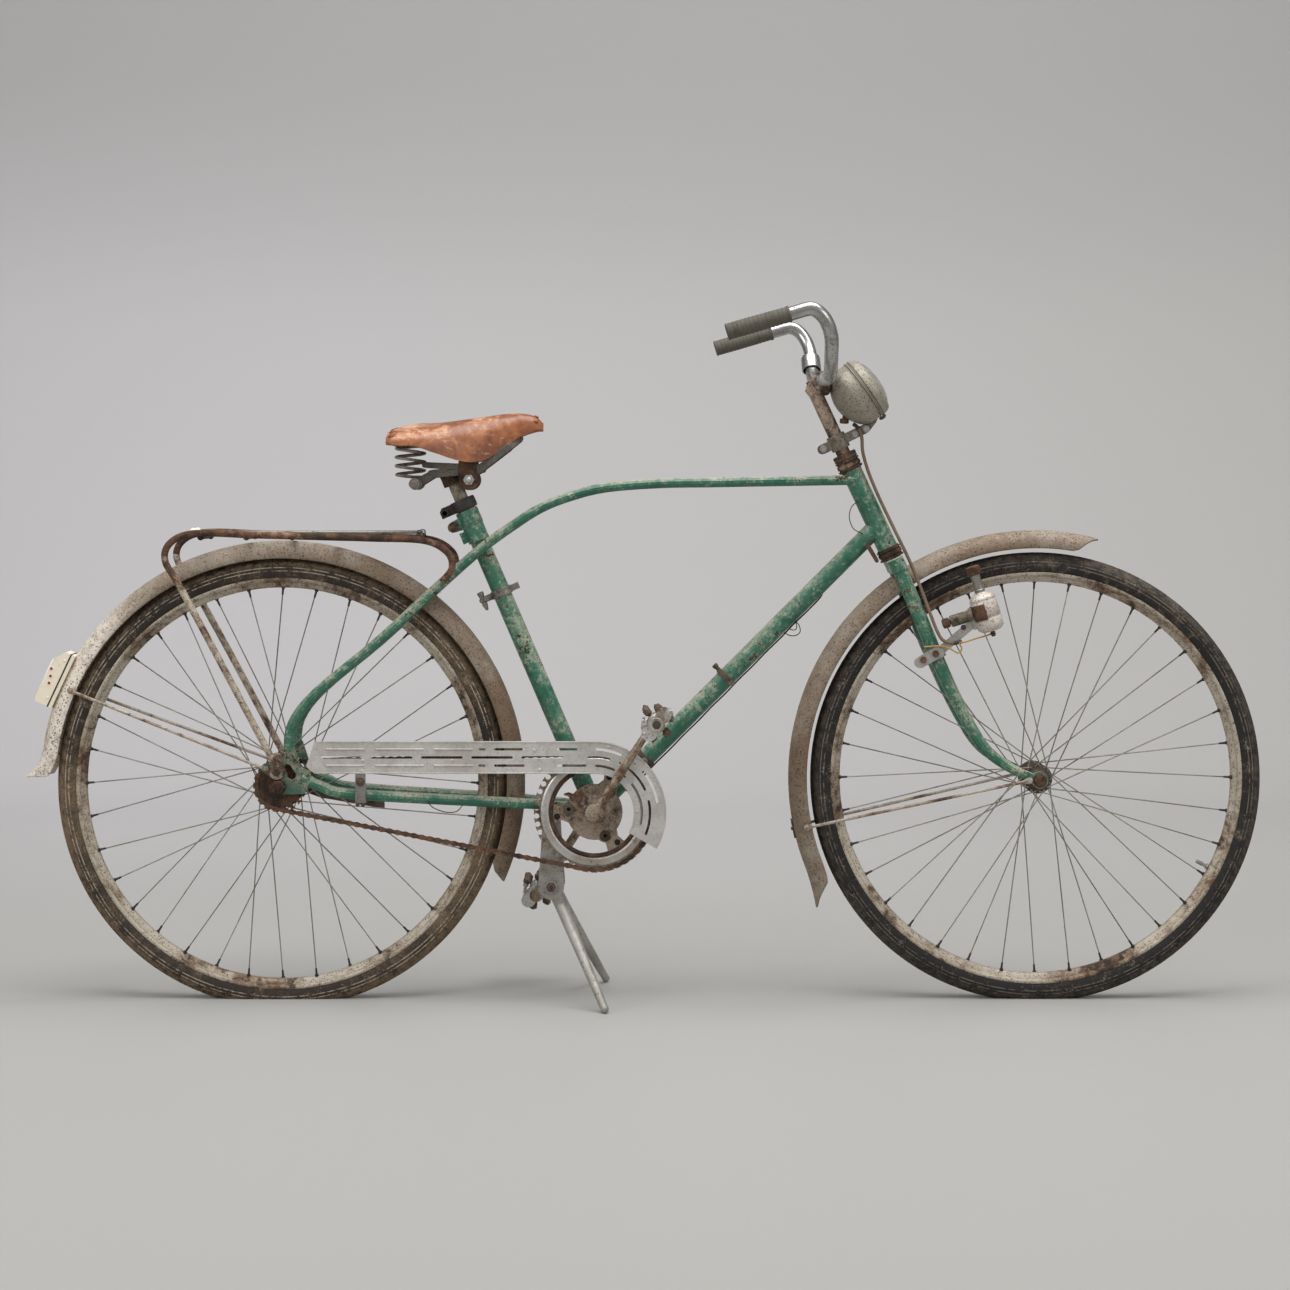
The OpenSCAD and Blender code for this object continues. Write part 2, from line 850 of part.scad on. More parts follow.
module pedal(angle, side) {
    tip = bb_at + crank_len * [cos(angle), sin(angle)];
    color(rubber)
        translate([tip.x, side * pedal_y, tip.y])
            mirror([0, side > 0 ? 0 : 1, 0])
                pedal_body();
}

module right_pedal() { pedal(crank_angle, -1); }
module left_pedal() { pedal(crank_angle + 180, 1); }

// Half circle of radius r about c, from angle a to a + 180
function half_round(c, r, a) = [for (i = [0 : 6]) c + r * [cos(a + 30 * i), sin(a + 30 * i)]];

// Slot with round ends along the guard's straight band, k across the band
module straight_slot_2d(x0, x1, k) {
    h = guard_inner + guard_w * k;
    polygon(concat(half_round([x0, h], slot_w / 2, 90), half_round([x1, h], slot_w / 2, -90)));
}

// Slot with round ends about the chainring, from angle a0 down to a1
module round_slot_2d(a0, a1, k) {
    r = guard_inner + guard_w * k;
    steps = ceil((a0 - a1) / 6);
    arc = [for (i = [1 : steps - 1]) let (a = a1 + (a0 - a1) * i / steps) [cos(a), sin(a)]];
    polygon(concat(
        half_round(r * [cos(a1), sin(a1)], slot_w / 2, a1 - 180),
        [for (d = arc) (r + slot_w / 2) * d],
        half_round(r * [cos(a0), sin(a0)], slot_w / 2, a0),
        [for (i = [len(arc) - 1 : -1 : 0]) (r - slot_w / 2) * arc[i]]));
}

// Chain guard: a band above the chain that wraps the chainring, with three rows of slots
module guard_2d() {
    outer = guard_inner + guard_w;
    tail = 40 - bb_x;
    difference() {
        union() {
            intersection() {
                difference() {
                    circle(outer);
                    circle(guard_inner);
                }
                polygon([[0, 0], [0, outer + 60], [outer + 60, outer + 60],
                         2 * outer * [cos(guard_tip_angle), sin(guard_tip_angle)]]);
            }
            polygon([[2, outer], [2, guard_inner], [tail + 16, guard_inner], [tail + 8, guard_inner + 5],
                     [tail + 2, guard_inner + 12], [tail + 15, outer]]);
        }
        for (x = [tail + 26 : slot_pitch : -50])
            straight_slot_2d(x, x + slot_pitch - 17, 0.5);
        for (k = [0.25, 0.75]) {
            straight_slot_2d(-176, -169, k);
            straight_slot_2d(-152, -109, k);
            straight_slot_2d(-56, k > 0.5 ? -28 : -14, k);
            round_slot_2d(88, 66, k);
        }
        round_slot_2d(96, 75, 0.5);
        round_slot_2d(51, 25, 0.5);
        round_slot_2d(12, -22, 0.5);
        round_slot_2d(37, -13, 0.25);
        round_slot_2d(40, 10, 0.75);
        for (k = [0.25, 0.5, 0.75])
            rotate(guard_turn(k))
                translate([guard_inner + guard_w * k, 0])
                    circle(slot_w / 2);
    }
}

// Angle of the round hole that each row of slots has on the bend
function guard_turn(k) = k < 0.3 ? 50 : k > 0.6 ? 51 : 63;

module chain_guard() {
    color(alloy)
        translate([bb_x, 0, bb_z])
            plate(guard_y - sheet, guard_y)
                guard_2d();
}

module frame_clips() {
    band = clip_band;
    stay_clip_x = 125;
    stay_z = rear_axle_z - 14;
    color(dull_steel) {
        // Guard clip on the down tube
        on_down_tube()
            clamp_ring(down_tube_d / 2 + joint_gap, band, 14, 101);
        difference() {
            across(bb_at + 108 * down_dir, 5, guard_y + 0.05, 0);
            on_down_tube()
                cylinder(h = 400, r = down_tube_d / 2 + joint_gap);
        }
        // Wire clip on the down tube
        on_down_tube()
            clamp_ring(down_tube_d / 2 + joint_gap, band, 8, 284);
        // Guard strap round the right chainstay
        difference() {
            translate([stay_clip_x - 8, guard_y, stay_z - stay_r - 3])
                cube([16, -guard_y - 34, bb_z + guard_inner + 16 - stay_z + stay_r + 3]);
            translate([stay_clip_x - 9, guard_y + sheet, stay_z + stay_r + 3])
                cube([18, 60, 80]);
            sweep(chainstay_path(-1), stay_r + joint_gap);
        }
        // Clamp with a wing screw on the seat tube
        on_seat_tube() {
            clamp_ring(seat_tube_d / 2 + joint_gap, band, 12, 360);
            translate([seat_tube_d / 2 + band - 0.5, -3, 361])
                cube([14, 6, 10]);
            translate([-seat_tube_d / 2 - band - 13.5, -3, 361])
                cube([14, 6, 10]);
            translate([-seat_tube_d / 2 - band - 9, 2, 366])
                rotate([90, 0, 0])
                    cylinder(h = 16, r = 4);
        }
    }
}

module rear_axle() {
    color(rusty) {
        across(rear_axle_at, rear_axle_r, -80, 80);
        both_sides() {
            across(rear_axle_at, 10, dropout_y + dropout_t + 5, dropout_y + dropout_t + 14);
            across(rear_axle_at, 12, dropout_y + dropout_t + 4, dropout_y + dropout_t + 5.5);
        }
        across(rear_axle_at, 9, -dropout_y + 0.05, -chain_line - 4 - seat_gap);
        across(rear_axle_at, 9, 52, dropout_y - 0.05);
    }
}

module brake_arm() {
    color(dull_steel)
        difference() {
            union() {
                plate(46.5, 49.5)
                    difference() {
                        union() {
                            translate(rear_axle_at)
                                circle(17);
                            bar_2d(rear_axle_at, rear_axle_at + [60, -22], 16);
                            bar_2d(rear_axle_at + [60, -22], rear_axle_at + [150, -38], 14);
                            translate(rear_axle_at + [60, -22])
                                circle(7.5);
                        }
                        translate(rear_axle_at)
                            circle(rear_axle_r + 0.1);
                    }
                translate([140, 36, rear_axle_z - 44])
                    cube([14, 12, 14]);
            }
            sweep(chainstay_path(1), stay_r + joint_gap);
        }
}

// ---- Wheels ----

// Tyre section about the wheel axis, cut flat where the soft tyre rests on the ground
module tyre(at) {
    mid = tyre_r - tyre_w / 2;
    color(rubber)
        difference() {
            translate([at.x, 0, at.y])
                rotate([90, 0, 0])
                    rotate_extrude($fn = 128)
                        polygon([for (a = [-126 : 12 : 126])
                            [max(rim_seat_r, mid + tyre_w / 2 * cos(a)), tyre_w / 2 * sin(a)]]);
            translate([at.x - tyre_r, -tyre_w, -tyre_w])
                cube([2 * tyre_r, 2 * tyre_w, tyre_w]);
        }
}

module rim(at) {
    inner = rim_seat_r - rim_depth;
    color(rusty)
        translate([at.x, 0, at.y])
            rotate([90, 0, 0])
                rotate_extrude($fn = 128)
                    polygon([[rim_seat_r - 0.1, rim_w / 2], [rim_seat_r - 0.1, -rim_w / 2],
                             [rim_seat_r - 6, -rim_w / 2], [rim_seat_r - 9, -rim_w / 2 + 3], [inner, -6],
                             [inner, 6], [rim_seat_r - 9, rim_w / 2 - 3], [rim_seat_r - 6, rim_w / 2]]);
}

// Crossed spokes: each leaves its flange tangentially and ends inside the rim
module spokes(at, flange_r) {
    end_r = rim_seat_r - rim_depth - seat_gap;
    step = 720 / spoke_count;
    lead = 3 * step;
    color(dull_steel)
        translate([at.x, 0, at.y])
            for (side = [-1, 1])
                for (i = [0 : spoke_count / 2 - 1])
                    let (way = i % 2 == 0 ? 1 : -1,
                         hub_a = i * step + (side > 0 ? step / 2 : 0),
                         rim_a = hub_a + way * lead,
                         from = [flange_r * cos(hub_a), side * (flange_y + 0.6 + spoke_d / 2 + (way > 0 ? 1.4 : 0)),
                                 flange_r * sin(hub_a)],
                         to = [end_r * cos(rim_a), side * 4, end_r * sin(rim_a)]) {
                        rod(from, to, spoke_d / 2);
                        rod(to - 12 * unit(to - from), to, 1.8);
                    }
}

module hub(at, body_r, flange_r, half_r, half_l, bore_r) {
    difference() {
        union() {
            across(at, body_r, -half_r, half_l);
            for (y = [-flange_y, flange_y - 2.4])
                across(at, flange_r + 3, y, y + 2.4);
        }
        across(at, bore_r, -100, 100);
    }
}

module front_tyre() { tyre(front_axle_at); }
module rear_tyre() { tyre(rear_axle_at); }

module front_rim() {
    rim(front_axle_at);
    color(dull_steel)
        translate([wheelbase, 0, front_axle_z])
            rotate([0, 117.5, 0])
                translate([0, 0, rim_seat_r - rim_depth - 22])
                    cylinder(h = 23, r = 3);
}

module rear_rim() { rim(rear_axle_at); }
module front_spokes() { spokes(front_axle_at, front_flange_r); }
module rear_spokes() { spokes(rear_axle_at, rear_flange_r); }

module front_hub() {
    color(dull_steel)
        hub(front_axle_at, 10, front_flange_r, front_hub_half, front_hub_half, front_axle_r + running);
}

module rear_hub() {
    color(dull_steel)
        hub(rear_axle_at, 22, rear_flange_r, rear_hub_half, 46, rear_axle_r + running);
}

module front_axle() {
    end = front_lock_half + fork_end_t;
    color(rusty) {
        across(front_axle_at, front_axle_r, -end - 14, end + 14);
        both_sides() {
            across(front_axle_at, 9, end + 0.05, end + 9);
            across(front_axle_at, 7.5, front_hub_half + seat_gap, front_lock_half - 0.05);
        }
    }
}

// ---- Fenders ----

// Fender about an axle, from angle a0 to a1 in the X-Z plane
module fender(at, mid_r, a0, a1) {
    translate([at.x, 0, at.y])
        rotate([90, 0, 0])
            rotate(a0)
                rotate_extrude(angle = a1 - a0, $fn = 128)
                    intersection() {
                        difference() {
                            translate([mid_r, 0])
                                circle(fender_round);
                            translate([mid_r, 0])
                                circle(fender_round - sheet);
                        }
                        translate([mid_r, -fender_round - 1])
                            square([fender_round + 1, 2 * fender_round + 2]);
                    }
}

// Tail of the rear fender, curling away from the tyre
module fender_tail() {
    at = rear_axle_at + (rear_fender_r + flare_r) * [cos(flare_from), sin(flare_from)];
    translate([at.x, 0, at.y])
        rotate([90, 0, 0])
            rotate(flare_from + 180 - flare_turn)
                rotate_extrude(angle = flare_turn, $fn = 128)
                    intersection() {
                        translate([flare_r + fender_round, 0])
                            difference() {
                                circle(fender_round);
                                circle(fender_round - sheet);
                            }
                        translate([flare_r - 1, -fender_round - 1])
                            square([fender_round + 1, 2 * fender_round + 2]);
                    }
}

module rear_fender() {
    color(rusty) {
        fender(rear_axle_at, rear_fender_mid, -24, flare_from);
        fender_tail();
    }
}

module front_fender() {
    color(rusty)
        fender(front_axle_at, front_fender_mid, 75, 211);
}

module rear_fender_stays() {
    tip = rear_axle_at + (rear_fender_mid + 6) * [cos(156), sin(156)];
    color(rusty)
        both_sides()
            rod([-18, dropout_y + dropout_t + 4.5, rear_axle_z + 27], on_xz(tip, fender_round + 2.8), 2.6);
}

module front_fender_stays() {
    tip = front_axle_at + (front_fender_mid + 6) * [cos(192), sin(192)];
    color(rusty)
        both_sides() {
            rod([wheelbase - 16, front_lock_half + fork_end_t + 3, front_axle_z],
                on_xz(tip, fender_round + 2.8), 2.6);
            across([wheelbase - 16, front_axle_z], 4, front_lock_half + fork_end_t + 0.05,
                   front_lock_half + fork_end_t + 5);
        }
}

// ---- Carrier ----

function carrier_path(side) = let (y = carrier_w / 2) curve([
    [-2, side * (dropout_y + dropout_t + carrier_r + seat_gap), rear_axle_z + 30],
    [-90, side * (dropout_y + dropout_t + carrier_r + seat_gap), rear_axle_z + 195],
    [-172, side * y, carrier_top - 38],
    [-166, side * y, carrier_top - 10],
    [-126, side * y, carrier_top + 5],
    [50, side * y, carrier_top],
    [222, side * y, carrier_top - 6],
    [262, side * (y - 6), carrier_top - 26],
    [266, side * (y - 14), carrier_top - 50],
    [248, side * (fender_round + 5.7 + twin_r + carrier_r), carrier_top - 72]
], 4);

module carrier_tube(side) {
    color(rusty) {
        sweep(carrier_path(side), carrier_r);
        across(rear_axle_at + [-2, 22], 12, side > 0 ? dropout_y + dropout_t + 0.1 : -dropout_y - dropout_t - 3.6,
               side > 0 ? dropout_y + dropout_t + 3.6 : -dropout_y - dropout_t - 0.1);
    }
}

module right_carrier_tube() { carrier_tube(-1); }
module left_carrier_tube() { carrier_tube(1); }

module carrier_deck() {
    half = carrier_w / 2 - carrier_r - joint_gap;
    color(rusty)
        for (x = [-120, -50, 20, 90, 160, 214])
            across([x, carrier_top - 1], deck_r, -half, half);
}

module carrier_clip() {
    wire_r = 2.6;
    z = carrier_top - 1 + deck_r + wire_r + seat_gap;
    color(dull_steel) {
        both_sides() {
            rod([214, 22, z], [-132, 22, z], wire_r);
            translate([-136, 22, z + 1])
                sphere(6);
        }
        across([214, z], wire_r - 0.1, -22, 22);
        across([-66, z], wire_r - 0.1, -22, 22);
    }
}

module tail_lamp() {
    color(cream)
        difference() {
            translate([0, 0, rear_axle_z])
                rotate([0, -tail_lamp_angle, 0])
                    translate([rear_fender_r - 4, 0, 0])
                        plate(-22, 22)
                            polygon([[0, -tail_lamp_half], [tail_lamp_deep - 8, -tail_lamp_half],
                                     [tail_lamp_deep + 4, -tail_lamp_half + 16],
                                     [tail_lamp_deep + 4, tail_lamp_half], [0, tail_lamp_half]]);
            translate([0, 0, rear_axle_z])
                rotate([90, 0, 0])
                    rotate_extrude($fn = 128)
                        translate([rear_fender_mid, 0])
                            circle(fender_round + seat_gap);
        }
}

// ---- Stand ----

module stand_bracket() {
    y0 = stand_half + seat_gap;
    top = bb_z + 9 - stay_r - 1;
    color(alloy) {
        both_sides()
            plate(y0, y0 + 4) {
                translate(stand_at)
                    circle(20);
                polygon([[stand_at.x - 20, stand_z], [stand_at.x + 20, stand_z], [stand_at.x + 12, top],
                         [stand_at.x - 12, top]]);
            }
        translate([stand_at.x - 12, -y0 - 4, top - 5])
            cube([24, 2 * y0 + 8, 5]);
        across(stand_at, stand_pin_r, -y0 - 12, y0 + 12);
        both_sides()
            across(stand_at, 9, y0 + 4, y0 + 9);
    }
}

module centre_stand() {
    color(alloy)
        difference() {
            union() {
                across(stand_at, 14, -stand_half, stand_half);
                both_sides() {
                    rod(on_xz(stand_at, knee_y), on_xz(knee_at, knee_y), 10);
                    translate(on_xz(knee_at, knee_y))
                        sphere(10.2);
                    rod(on_xz(knee_at, knee_y), on_xz(foot_at, stand_w / 2), 10, 6);
                    translate(on_xz(foot_at, stand_w / 2))
                        rotate([0, 30, 0])
                            sphere(foot_r + 0.4);
                }
            }
            across(stand_at, stand_pin_r + running, -100, 100);
        }
}

// ---- Fork, bars and lamp ----

module fork_crown() {
    color(paint)
        on_steering()
            difference() {
                union() {
                    cylinder(h = nut_top, r = steerer_r);
                    translate([0, 0, crown_bottom])
                        cylinder(h = -crown_bottom + 1, r = steerer_r);
                    translate([-crown_half, -36, crown_bottom])
                        cube([2 * crown_half, 72, -crown_bottom - cup_h / 2 - seat_gap]);
                    both_sides()
                        translate([0, 38.5, crown_bottom])
                            cylinder(h = -crown_bottom - cup_h / 2 - seat_gap, r = crown_half);
                    translate([0, 0, cups_top + seat_gap])
                        cylinder(h = nut_h, r = cup_r - 1);
                }
                translate([0, 0, head_len])
                    cylinder(h = 100, r = quill_r + running);
            }
}

function blade_path(side) = curve([
    [0, side * 38.5, crown_bottom],
    [-3, side * 39, -0.27 * fork_len],
    [-6, side * 40, -0.44 * fork_len],
    [-6, side * 42, -0.62 * fork_len],
    [0, side * 46, -0.79 * fork_len],
    [fork_rake * 0.30, side * 49.5, -0.885 * fork_len],
    [fork_rake * 0.62, side * 52, -0.945 * fork_len],
    [fork_rake * 0.9, side * (front_lock_half + fork_end_t / 2), -0.985 * fork_len]
], 4);

module fork_blade(side) {
    y0 = side > 0 ? front_lock_half : -front_lock_half - fork_end_t;
    color(paint) {
        difference() {
            union() {
                on_steering()
                    sweep(blade_path(side), [for (i = [0 : 28]) 11.3 - max(0, i - 6) * 0.24]);
                across(front_axle_at, 13, y0, y0 + fork_end_t);
            }
            across(front_axle_at, front_axle_r + running, -100, 100);
            on_steering()
                translate([-30, -70, crown_bottom - joint_gap])
                    cube([60, 140, 30]);
            translate([wheelbase - 30, side > 0 ? 0 : -front_lock_half, front_axle_z - 30])
                cube([60, front_lock_half, 60]);
            translate([wheelbase - 20, side > 0 ? front_lock_half + fork_end_t : -front_lock_half - 99,
                       front_axle_z - 30])
                cube([40, 94, 60]);
        }
    }
}

module right_fork_blade() { fork_blade(-1); }
module left_fork_blade() { fork_blade(1); }

module stem() {
    color(rusty)
        on_steering()
            difference() {
                union() {
                    translate([0, 0, head_len + 1])
                        cylinder(h = bar_height - head_len - 4, r = quill_r);
                    translate([bar_x, 18, bar_height])
                        rotate([90, 0, 0])
                            cylinder(h = 36, r = bar_r + 4.5);
                    translate([0, 0, bar_height - 6])
                        cylinder(h = 14, r = 7, $fn = 6);
                }
                translate([bar_x, 50, bar_height])
                    rotate([90, 0, 0])
                        cylinder(h = 100, r = bar_r + running);
            }
}

// Handlebar, in the frame of the steering axis turned level at the bar's centre
bar_centre = head_low + bar_height * steer_up + bar_x * steer_fwd;
grip_drop = 16;
grip_end = [-157, bar_reach, 62];
grip_start = grip_end + grip_len * [cos(grip_drop), 0, sin(grip_drop)];

function half_bar(side) = [for (p = curve([
    [0, 0, 0], [0, bar_reach - 98, 0], [0, bar_reach - 70, 4], [-1, bar_reach - 36, 27],
    [-3, bar_reach - 14, 58], [-14, bar_reach - 3, 83], [-32, bar_reach, 96],
    grip_start + [8, 0, 2.3], grip_start, grip_end + [4, 0, 1.1]
], 4)) [p.x, side * p.y, p.z]];

module at_bar() {
    translate([bar_centre.x, 0, bar_centre.y])
        children();
}

module handlebar() {
    right = half_bar(-1);
    left = half_bar(1);
    path = concat([for (i = [len(right) - 1 : -1 : 1]) right[i]], left);
    color(bright)
        at_bar() {
            sweep(path, bar_r, 16, [0.1, 0.2, 1]);
            // Collar on the left riser
            difference() {
                rod([-1, bar_reach - 36, 25], [-2.5, bar_reach - 22, 47], bar_r + 5);
                rod([-0.5, bar_reach - 40, 19], [-2.2, bar_reach - 24.5, 43], bar_r + 3.3);
                rod([0, bar_reach - 44, 13], [-3.5, bar_reach - 13, 61], bar_r + 0.2);
            }
        }
}

module grips() {
    color(grip_rubber)
        at_bar()
            both_sides()
                difference() {
                    rod(grip_end, grip_start, bar_r + grip_gap + grip_t);
                    rod(grip_end + [3, 0, 0.9], grip_start + [20, 0, 5.7], bar_r + grip_gap);
                }
}

lamp_at = [66, 246];
lamp_tilt = 10;
lamp_back = 47;

module headlamp() {
    r = lamp_d / 2;
    color(dull_steel)
        on_steering()
            translate([lamp_at.x, 0, lamp_at.y])
                rotate([0, 90 - lamp_tilt, 0])
                    rotate_extrude()
                        polygon(concat(
                            [for (a = [90 : -15 : 0]) [r * pow(cos(a), 1.4), -lamp_back * sin(a)]],
                            [[r, 8], [r * 0.94, 19], [r * 0.76, 26], [r * 0.5, 30], [0, 32]]));
}

module lamp_bracket() {
    z = 190;
    color(dull_steel)
        on_steering() {
            clamp_ring(quill_r + joint_gap, 3.5, 24, z - 12);
            difference() {
                for (y = [-8, 5])
                    translate([-34, y, z - 8])
                        cube([86, 3, 15]);
                cylinder(h = 300, r = quill_r + joint_gap);
            }
            for (x = [-26, 17 + quill_r, 47])
                translate([x, 11, z])
                    rotate([90, 0, 0])
                        cylinder(h = 22, r = 4);
            difference() {
                translate([42, -5, z - 4])
                    cube([30, 10, 14]);
                translate([lamp_at.x, 0, lamp_at.y])
                    rotate([0, 90 - lamp_tilt, 0])
                        translate([0, 0, -60])
                            cylinder(h = 120, r = lamp_d / 2 + joint_gap);
            }
        }
}

dynamo_angle = 107.5;
dynamo_dir = [cos(dynamo_angle), sin(dynamo_angle)];
dynamo_y = -48;
dynamo_r = 21;

// Bottle dynamo standing beside the tyre, on a line from the front axle
module dynamo() {
    color(dull_steel)
        translate([wheelbase, dynamo_y, front_axle_z])
            rotate([0, 90 - dynamo_angle, 0]) {
                translate([0, 0, 240])
                    cylinder(h = 8, r1 = dynamo_r - 6, r2 = dynamo_r);
                translate([0, 0, 248])
                    cylinder(h = 46, r = dynamo_r);
                translate([0, 0, 294])
                    cylinder(h = 8, r1 = dynamo_r, r2 = 9);
                translate([0, 0, 302])
                    cylinder(h = 30, r = 7);
                translate([0, 0, 330])
                    cylinder(h = 14, r = 11);
                translate([0, 0, 232])
                    cylinder(h = 9, r = 3);
            }
}

module dynamo_bracket() {
    clamp_z = -168;
    blade = [-5, -40];
    color(alloy)
        difference() {
            union() {
                on_steering()
                    translate([blade.x, blade.y, clamp_z - 8])
                        cylinder(h = 16, r = 14.5);
                plate(-52, -46)
                    bar_2d(head_low + clamp_z * steer_up + blade.x * steer_fwd,
                           front_axle_at + 262 * dynamo_dir - 20 * [dynamo_dir.y, -dynamo_dir.x], 13);
                translate([wheelbase, dynamo_y, front_axle_z])
                    rotate([0, 90 - dynamo_angle, 0])
                        translate([-26, -7, 250])
                            cube([12, 10, 34]);
            }
            on_steering()
                sweep(blade_path(-1), [for (i = [0 : 28]) 11.35 - max(0, i - 6) * 0.24]);
            translate([wheelbase, dynamo_y, front_axle_z])
                rotate([0, 90 - dynamo_angle, 0])
                    translate([0, 0, 200])
                        cylinder(h = 150, r = dynamo_r + joint_gap);
        }
}

module lamp_cable() {
    color(rusty)
        on_steering()
            sweep(curve(lamp_cable_points, 3), 2.6, 8);
}

module tail_lamp_wire() {
    r = 1.2;
    drop = down_tube_d / 2 + clip_band + r + 0.15;
    below = [down_dir.y, -down_dir.x];
    color(rubber)
        sweep([for (k = [60 : 30 : 480]) on_xz(bb_at + k * down_dir + (drop + tail_wire_gap * (k % 60) / 60) * below,
                                               4)], r, 8);
}

bike() head_tube();
bike() headset_cups();
bike() down_tube();
bike() seat_tube();
bike() bottom_bracket_shell();
bike() right_twin_tube();
bike() left_twin_tube();
bike() right_chainstay();
bike() left_chainstay();
bike() rear_dropouts();
bike() stay_bridges();
bike() seat_collar();
bike() seat_post();
bike() saddle_leather();
bike() saddle_frame();
bike() saddle_springs();
bike() chain_guard();
bike() frame_clips();
bike() chain();
bike() rear_fender();
bike() rear_fender_stays();
bike() rear_axle();
bike() right_carrier_tube();
bike() left_carrier_tube();
bike() carrier_deck();
bike() carrier_clip();
bike() tail_lamp();
bike() stand_bracket();
bike() brake_arm();
bike() tail_lamp_wire();
bike() fork_crown();
bike() right_fork_blade();
bike() left_fork_blade();
bike() stem();
bike() handlebar();
bike() grips();
bike() headlamp();
bike() lamp_bracket();
bike() dynamo();
bike() dynamo_bracket();
bike() front_fender();
bike() front_fender_stays();
bike() front_axle();
bike() lamp_cable();
bike() front_tyre();
bike() front_rim();
bike() front_hub();
bike() front_spokes();
bike() rear_tyre();
bike() rear_rim();
bike() rear_hub();
bike() rear_spokes();
bike() rear_sprocket();
bike() chainring();
bike() right_crank();
bike() left_crank();
bike() right_pedal();
bike() left_pedal();
bike() centre_stand();
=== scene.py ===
import json
import math

import bpy
import numpy as np
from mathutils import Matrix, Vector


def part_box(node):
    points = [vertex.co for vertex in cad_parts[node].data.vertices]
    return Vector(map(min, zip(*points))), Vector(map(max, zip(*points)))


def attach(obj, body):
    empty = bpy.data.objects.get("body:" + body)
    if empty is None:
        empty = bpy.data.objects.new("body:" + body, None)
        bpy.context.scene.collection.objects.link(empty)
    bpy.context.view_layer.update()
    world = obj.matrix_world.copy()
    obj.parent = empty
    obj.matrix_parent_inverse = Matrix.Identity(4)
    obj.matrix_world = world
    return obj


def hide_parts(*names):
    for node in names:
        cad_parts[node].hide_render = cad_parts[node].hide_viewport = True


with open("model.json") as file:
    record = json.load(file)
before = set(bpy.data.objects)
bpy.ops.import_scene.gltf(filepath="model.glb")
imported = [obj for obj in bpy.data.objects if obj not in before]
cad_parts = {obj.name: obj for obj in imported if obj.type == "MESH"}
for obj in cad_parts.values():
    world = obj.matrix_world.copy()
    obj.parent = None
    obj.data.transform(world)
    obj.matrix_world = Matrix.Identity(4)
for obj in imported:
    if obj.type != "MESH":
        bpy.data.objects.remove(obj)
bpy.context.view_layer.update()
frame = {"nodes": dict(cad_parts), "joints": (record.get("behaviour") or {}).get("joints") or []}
nodes = frame["nodes"]
joints = {j["name"]: j for j in frame["joints"]}
mm = 0.001
leftWay = np.array([0.0, 1, 0])
rightWay = np.array([0.0, -1, 0])
upright = np.array([0.0, 0, 1])
origin = np.zeros(3)


def jointAt(name):
    return np.array(joints[name]["pos_m"], float)


# the places that the pieces are measured from, all taken from the frame
rearAxle = jointAt("rear_wheel_spin")
frontAxle = jointAt("front_wheel_spin")
crankCentre = jointAt("crank_spin")
headLow = jointAt("steering_turn")
steerUp = np.array(joints["steering_turn"]["axis"], float)
steerFwd = np.array([steerUp[2], 0, -steerUp[0]])
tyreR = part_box("front_tyre")[1].x - frontAxle[0]


def at(x, y, z):
    # millimetres ahead of the rear axle, left of the middle and above the ground
    return np.array([rearAxle[0] + x * mm, y * mm, z * mm])


def fromFork(fwd, side, up):
    # millimetres in the steering's own frame: ahead of the steering axis, left, up from the lower race
    return headLow + (fwd * steerFwd + up * steerUp) * mm + np.array([0, side * mm, 0])


def offset(place, x, y, z):
    # a place moved by millimetres ahead, left and up
    return place + np.array([x, y, z]) * mm


def polar(centre, radius, degrees, side=0.0):
    # a point in a plane square to Y, the angle counted from +X towards +Z
    a = np.radians(degrees)
    return np.stack([centre[0] + radius * mm * np.cos(a), centre[1] + side * mm + 0 * a,
                     centre[2] + radius * mm * np.sin(a)], axis=-1)


def unit(v):
    v = np.asarray(v, float)
    return v / np.maximum(np.linalg.norm(v, axis=-1, keepdims=True), 1e-12)


def grid(rows, cols, loopRows=False, loopCols=True):
    # quads of a grid of points, row by row, closed round where asked
    i = np.arange(rows if loopRows else rows - 1)
    j = np.arange(cols if loopCols else cols - 1)
    i, j = (a.ravel() for a in np.meshgrid(i, j, indexing="ij"))
    i2, j2 = (i + 1) % rows, (j + 1) % cols
    return np.stack([i * cols + j, i2 * cols + j, i2 * cols + j2, i * cols + j2], axis=1)


def solidity(verts, faces):
    # signed volume of a closed surface, from its faces' first three corners and centre
    total = 0.0
    for size in {len(f) for f in faces}:
        f = np.array([g for g in faces if len(g) == size])
        p = verts[f]
        for k in range(1, size - 1):
            total += np.einsum("ij,ij->i", p[:, 0], np.cross(p[:, k], p[:, k + 1])).sum() / 6
    return total


def loft(rings, loop=False):
    # closed rings joined one after another; the ends are closed by flat faces unless the rings make a loop
    rings = np.asarray(rings, float)
    n, m = rings.shape[:2]
    verts = rings.reshape(-1, 3)
    faces = grid(n, m, loopRows=loop).tolist()
    if not loop:
        faces += [list(range(m)), list(range((n - 1) * m, n * m))[::-1]]
    if solidity(verts, faces) < 0:
        faces = [f[::-1] for f in faces]
    return verts, faces


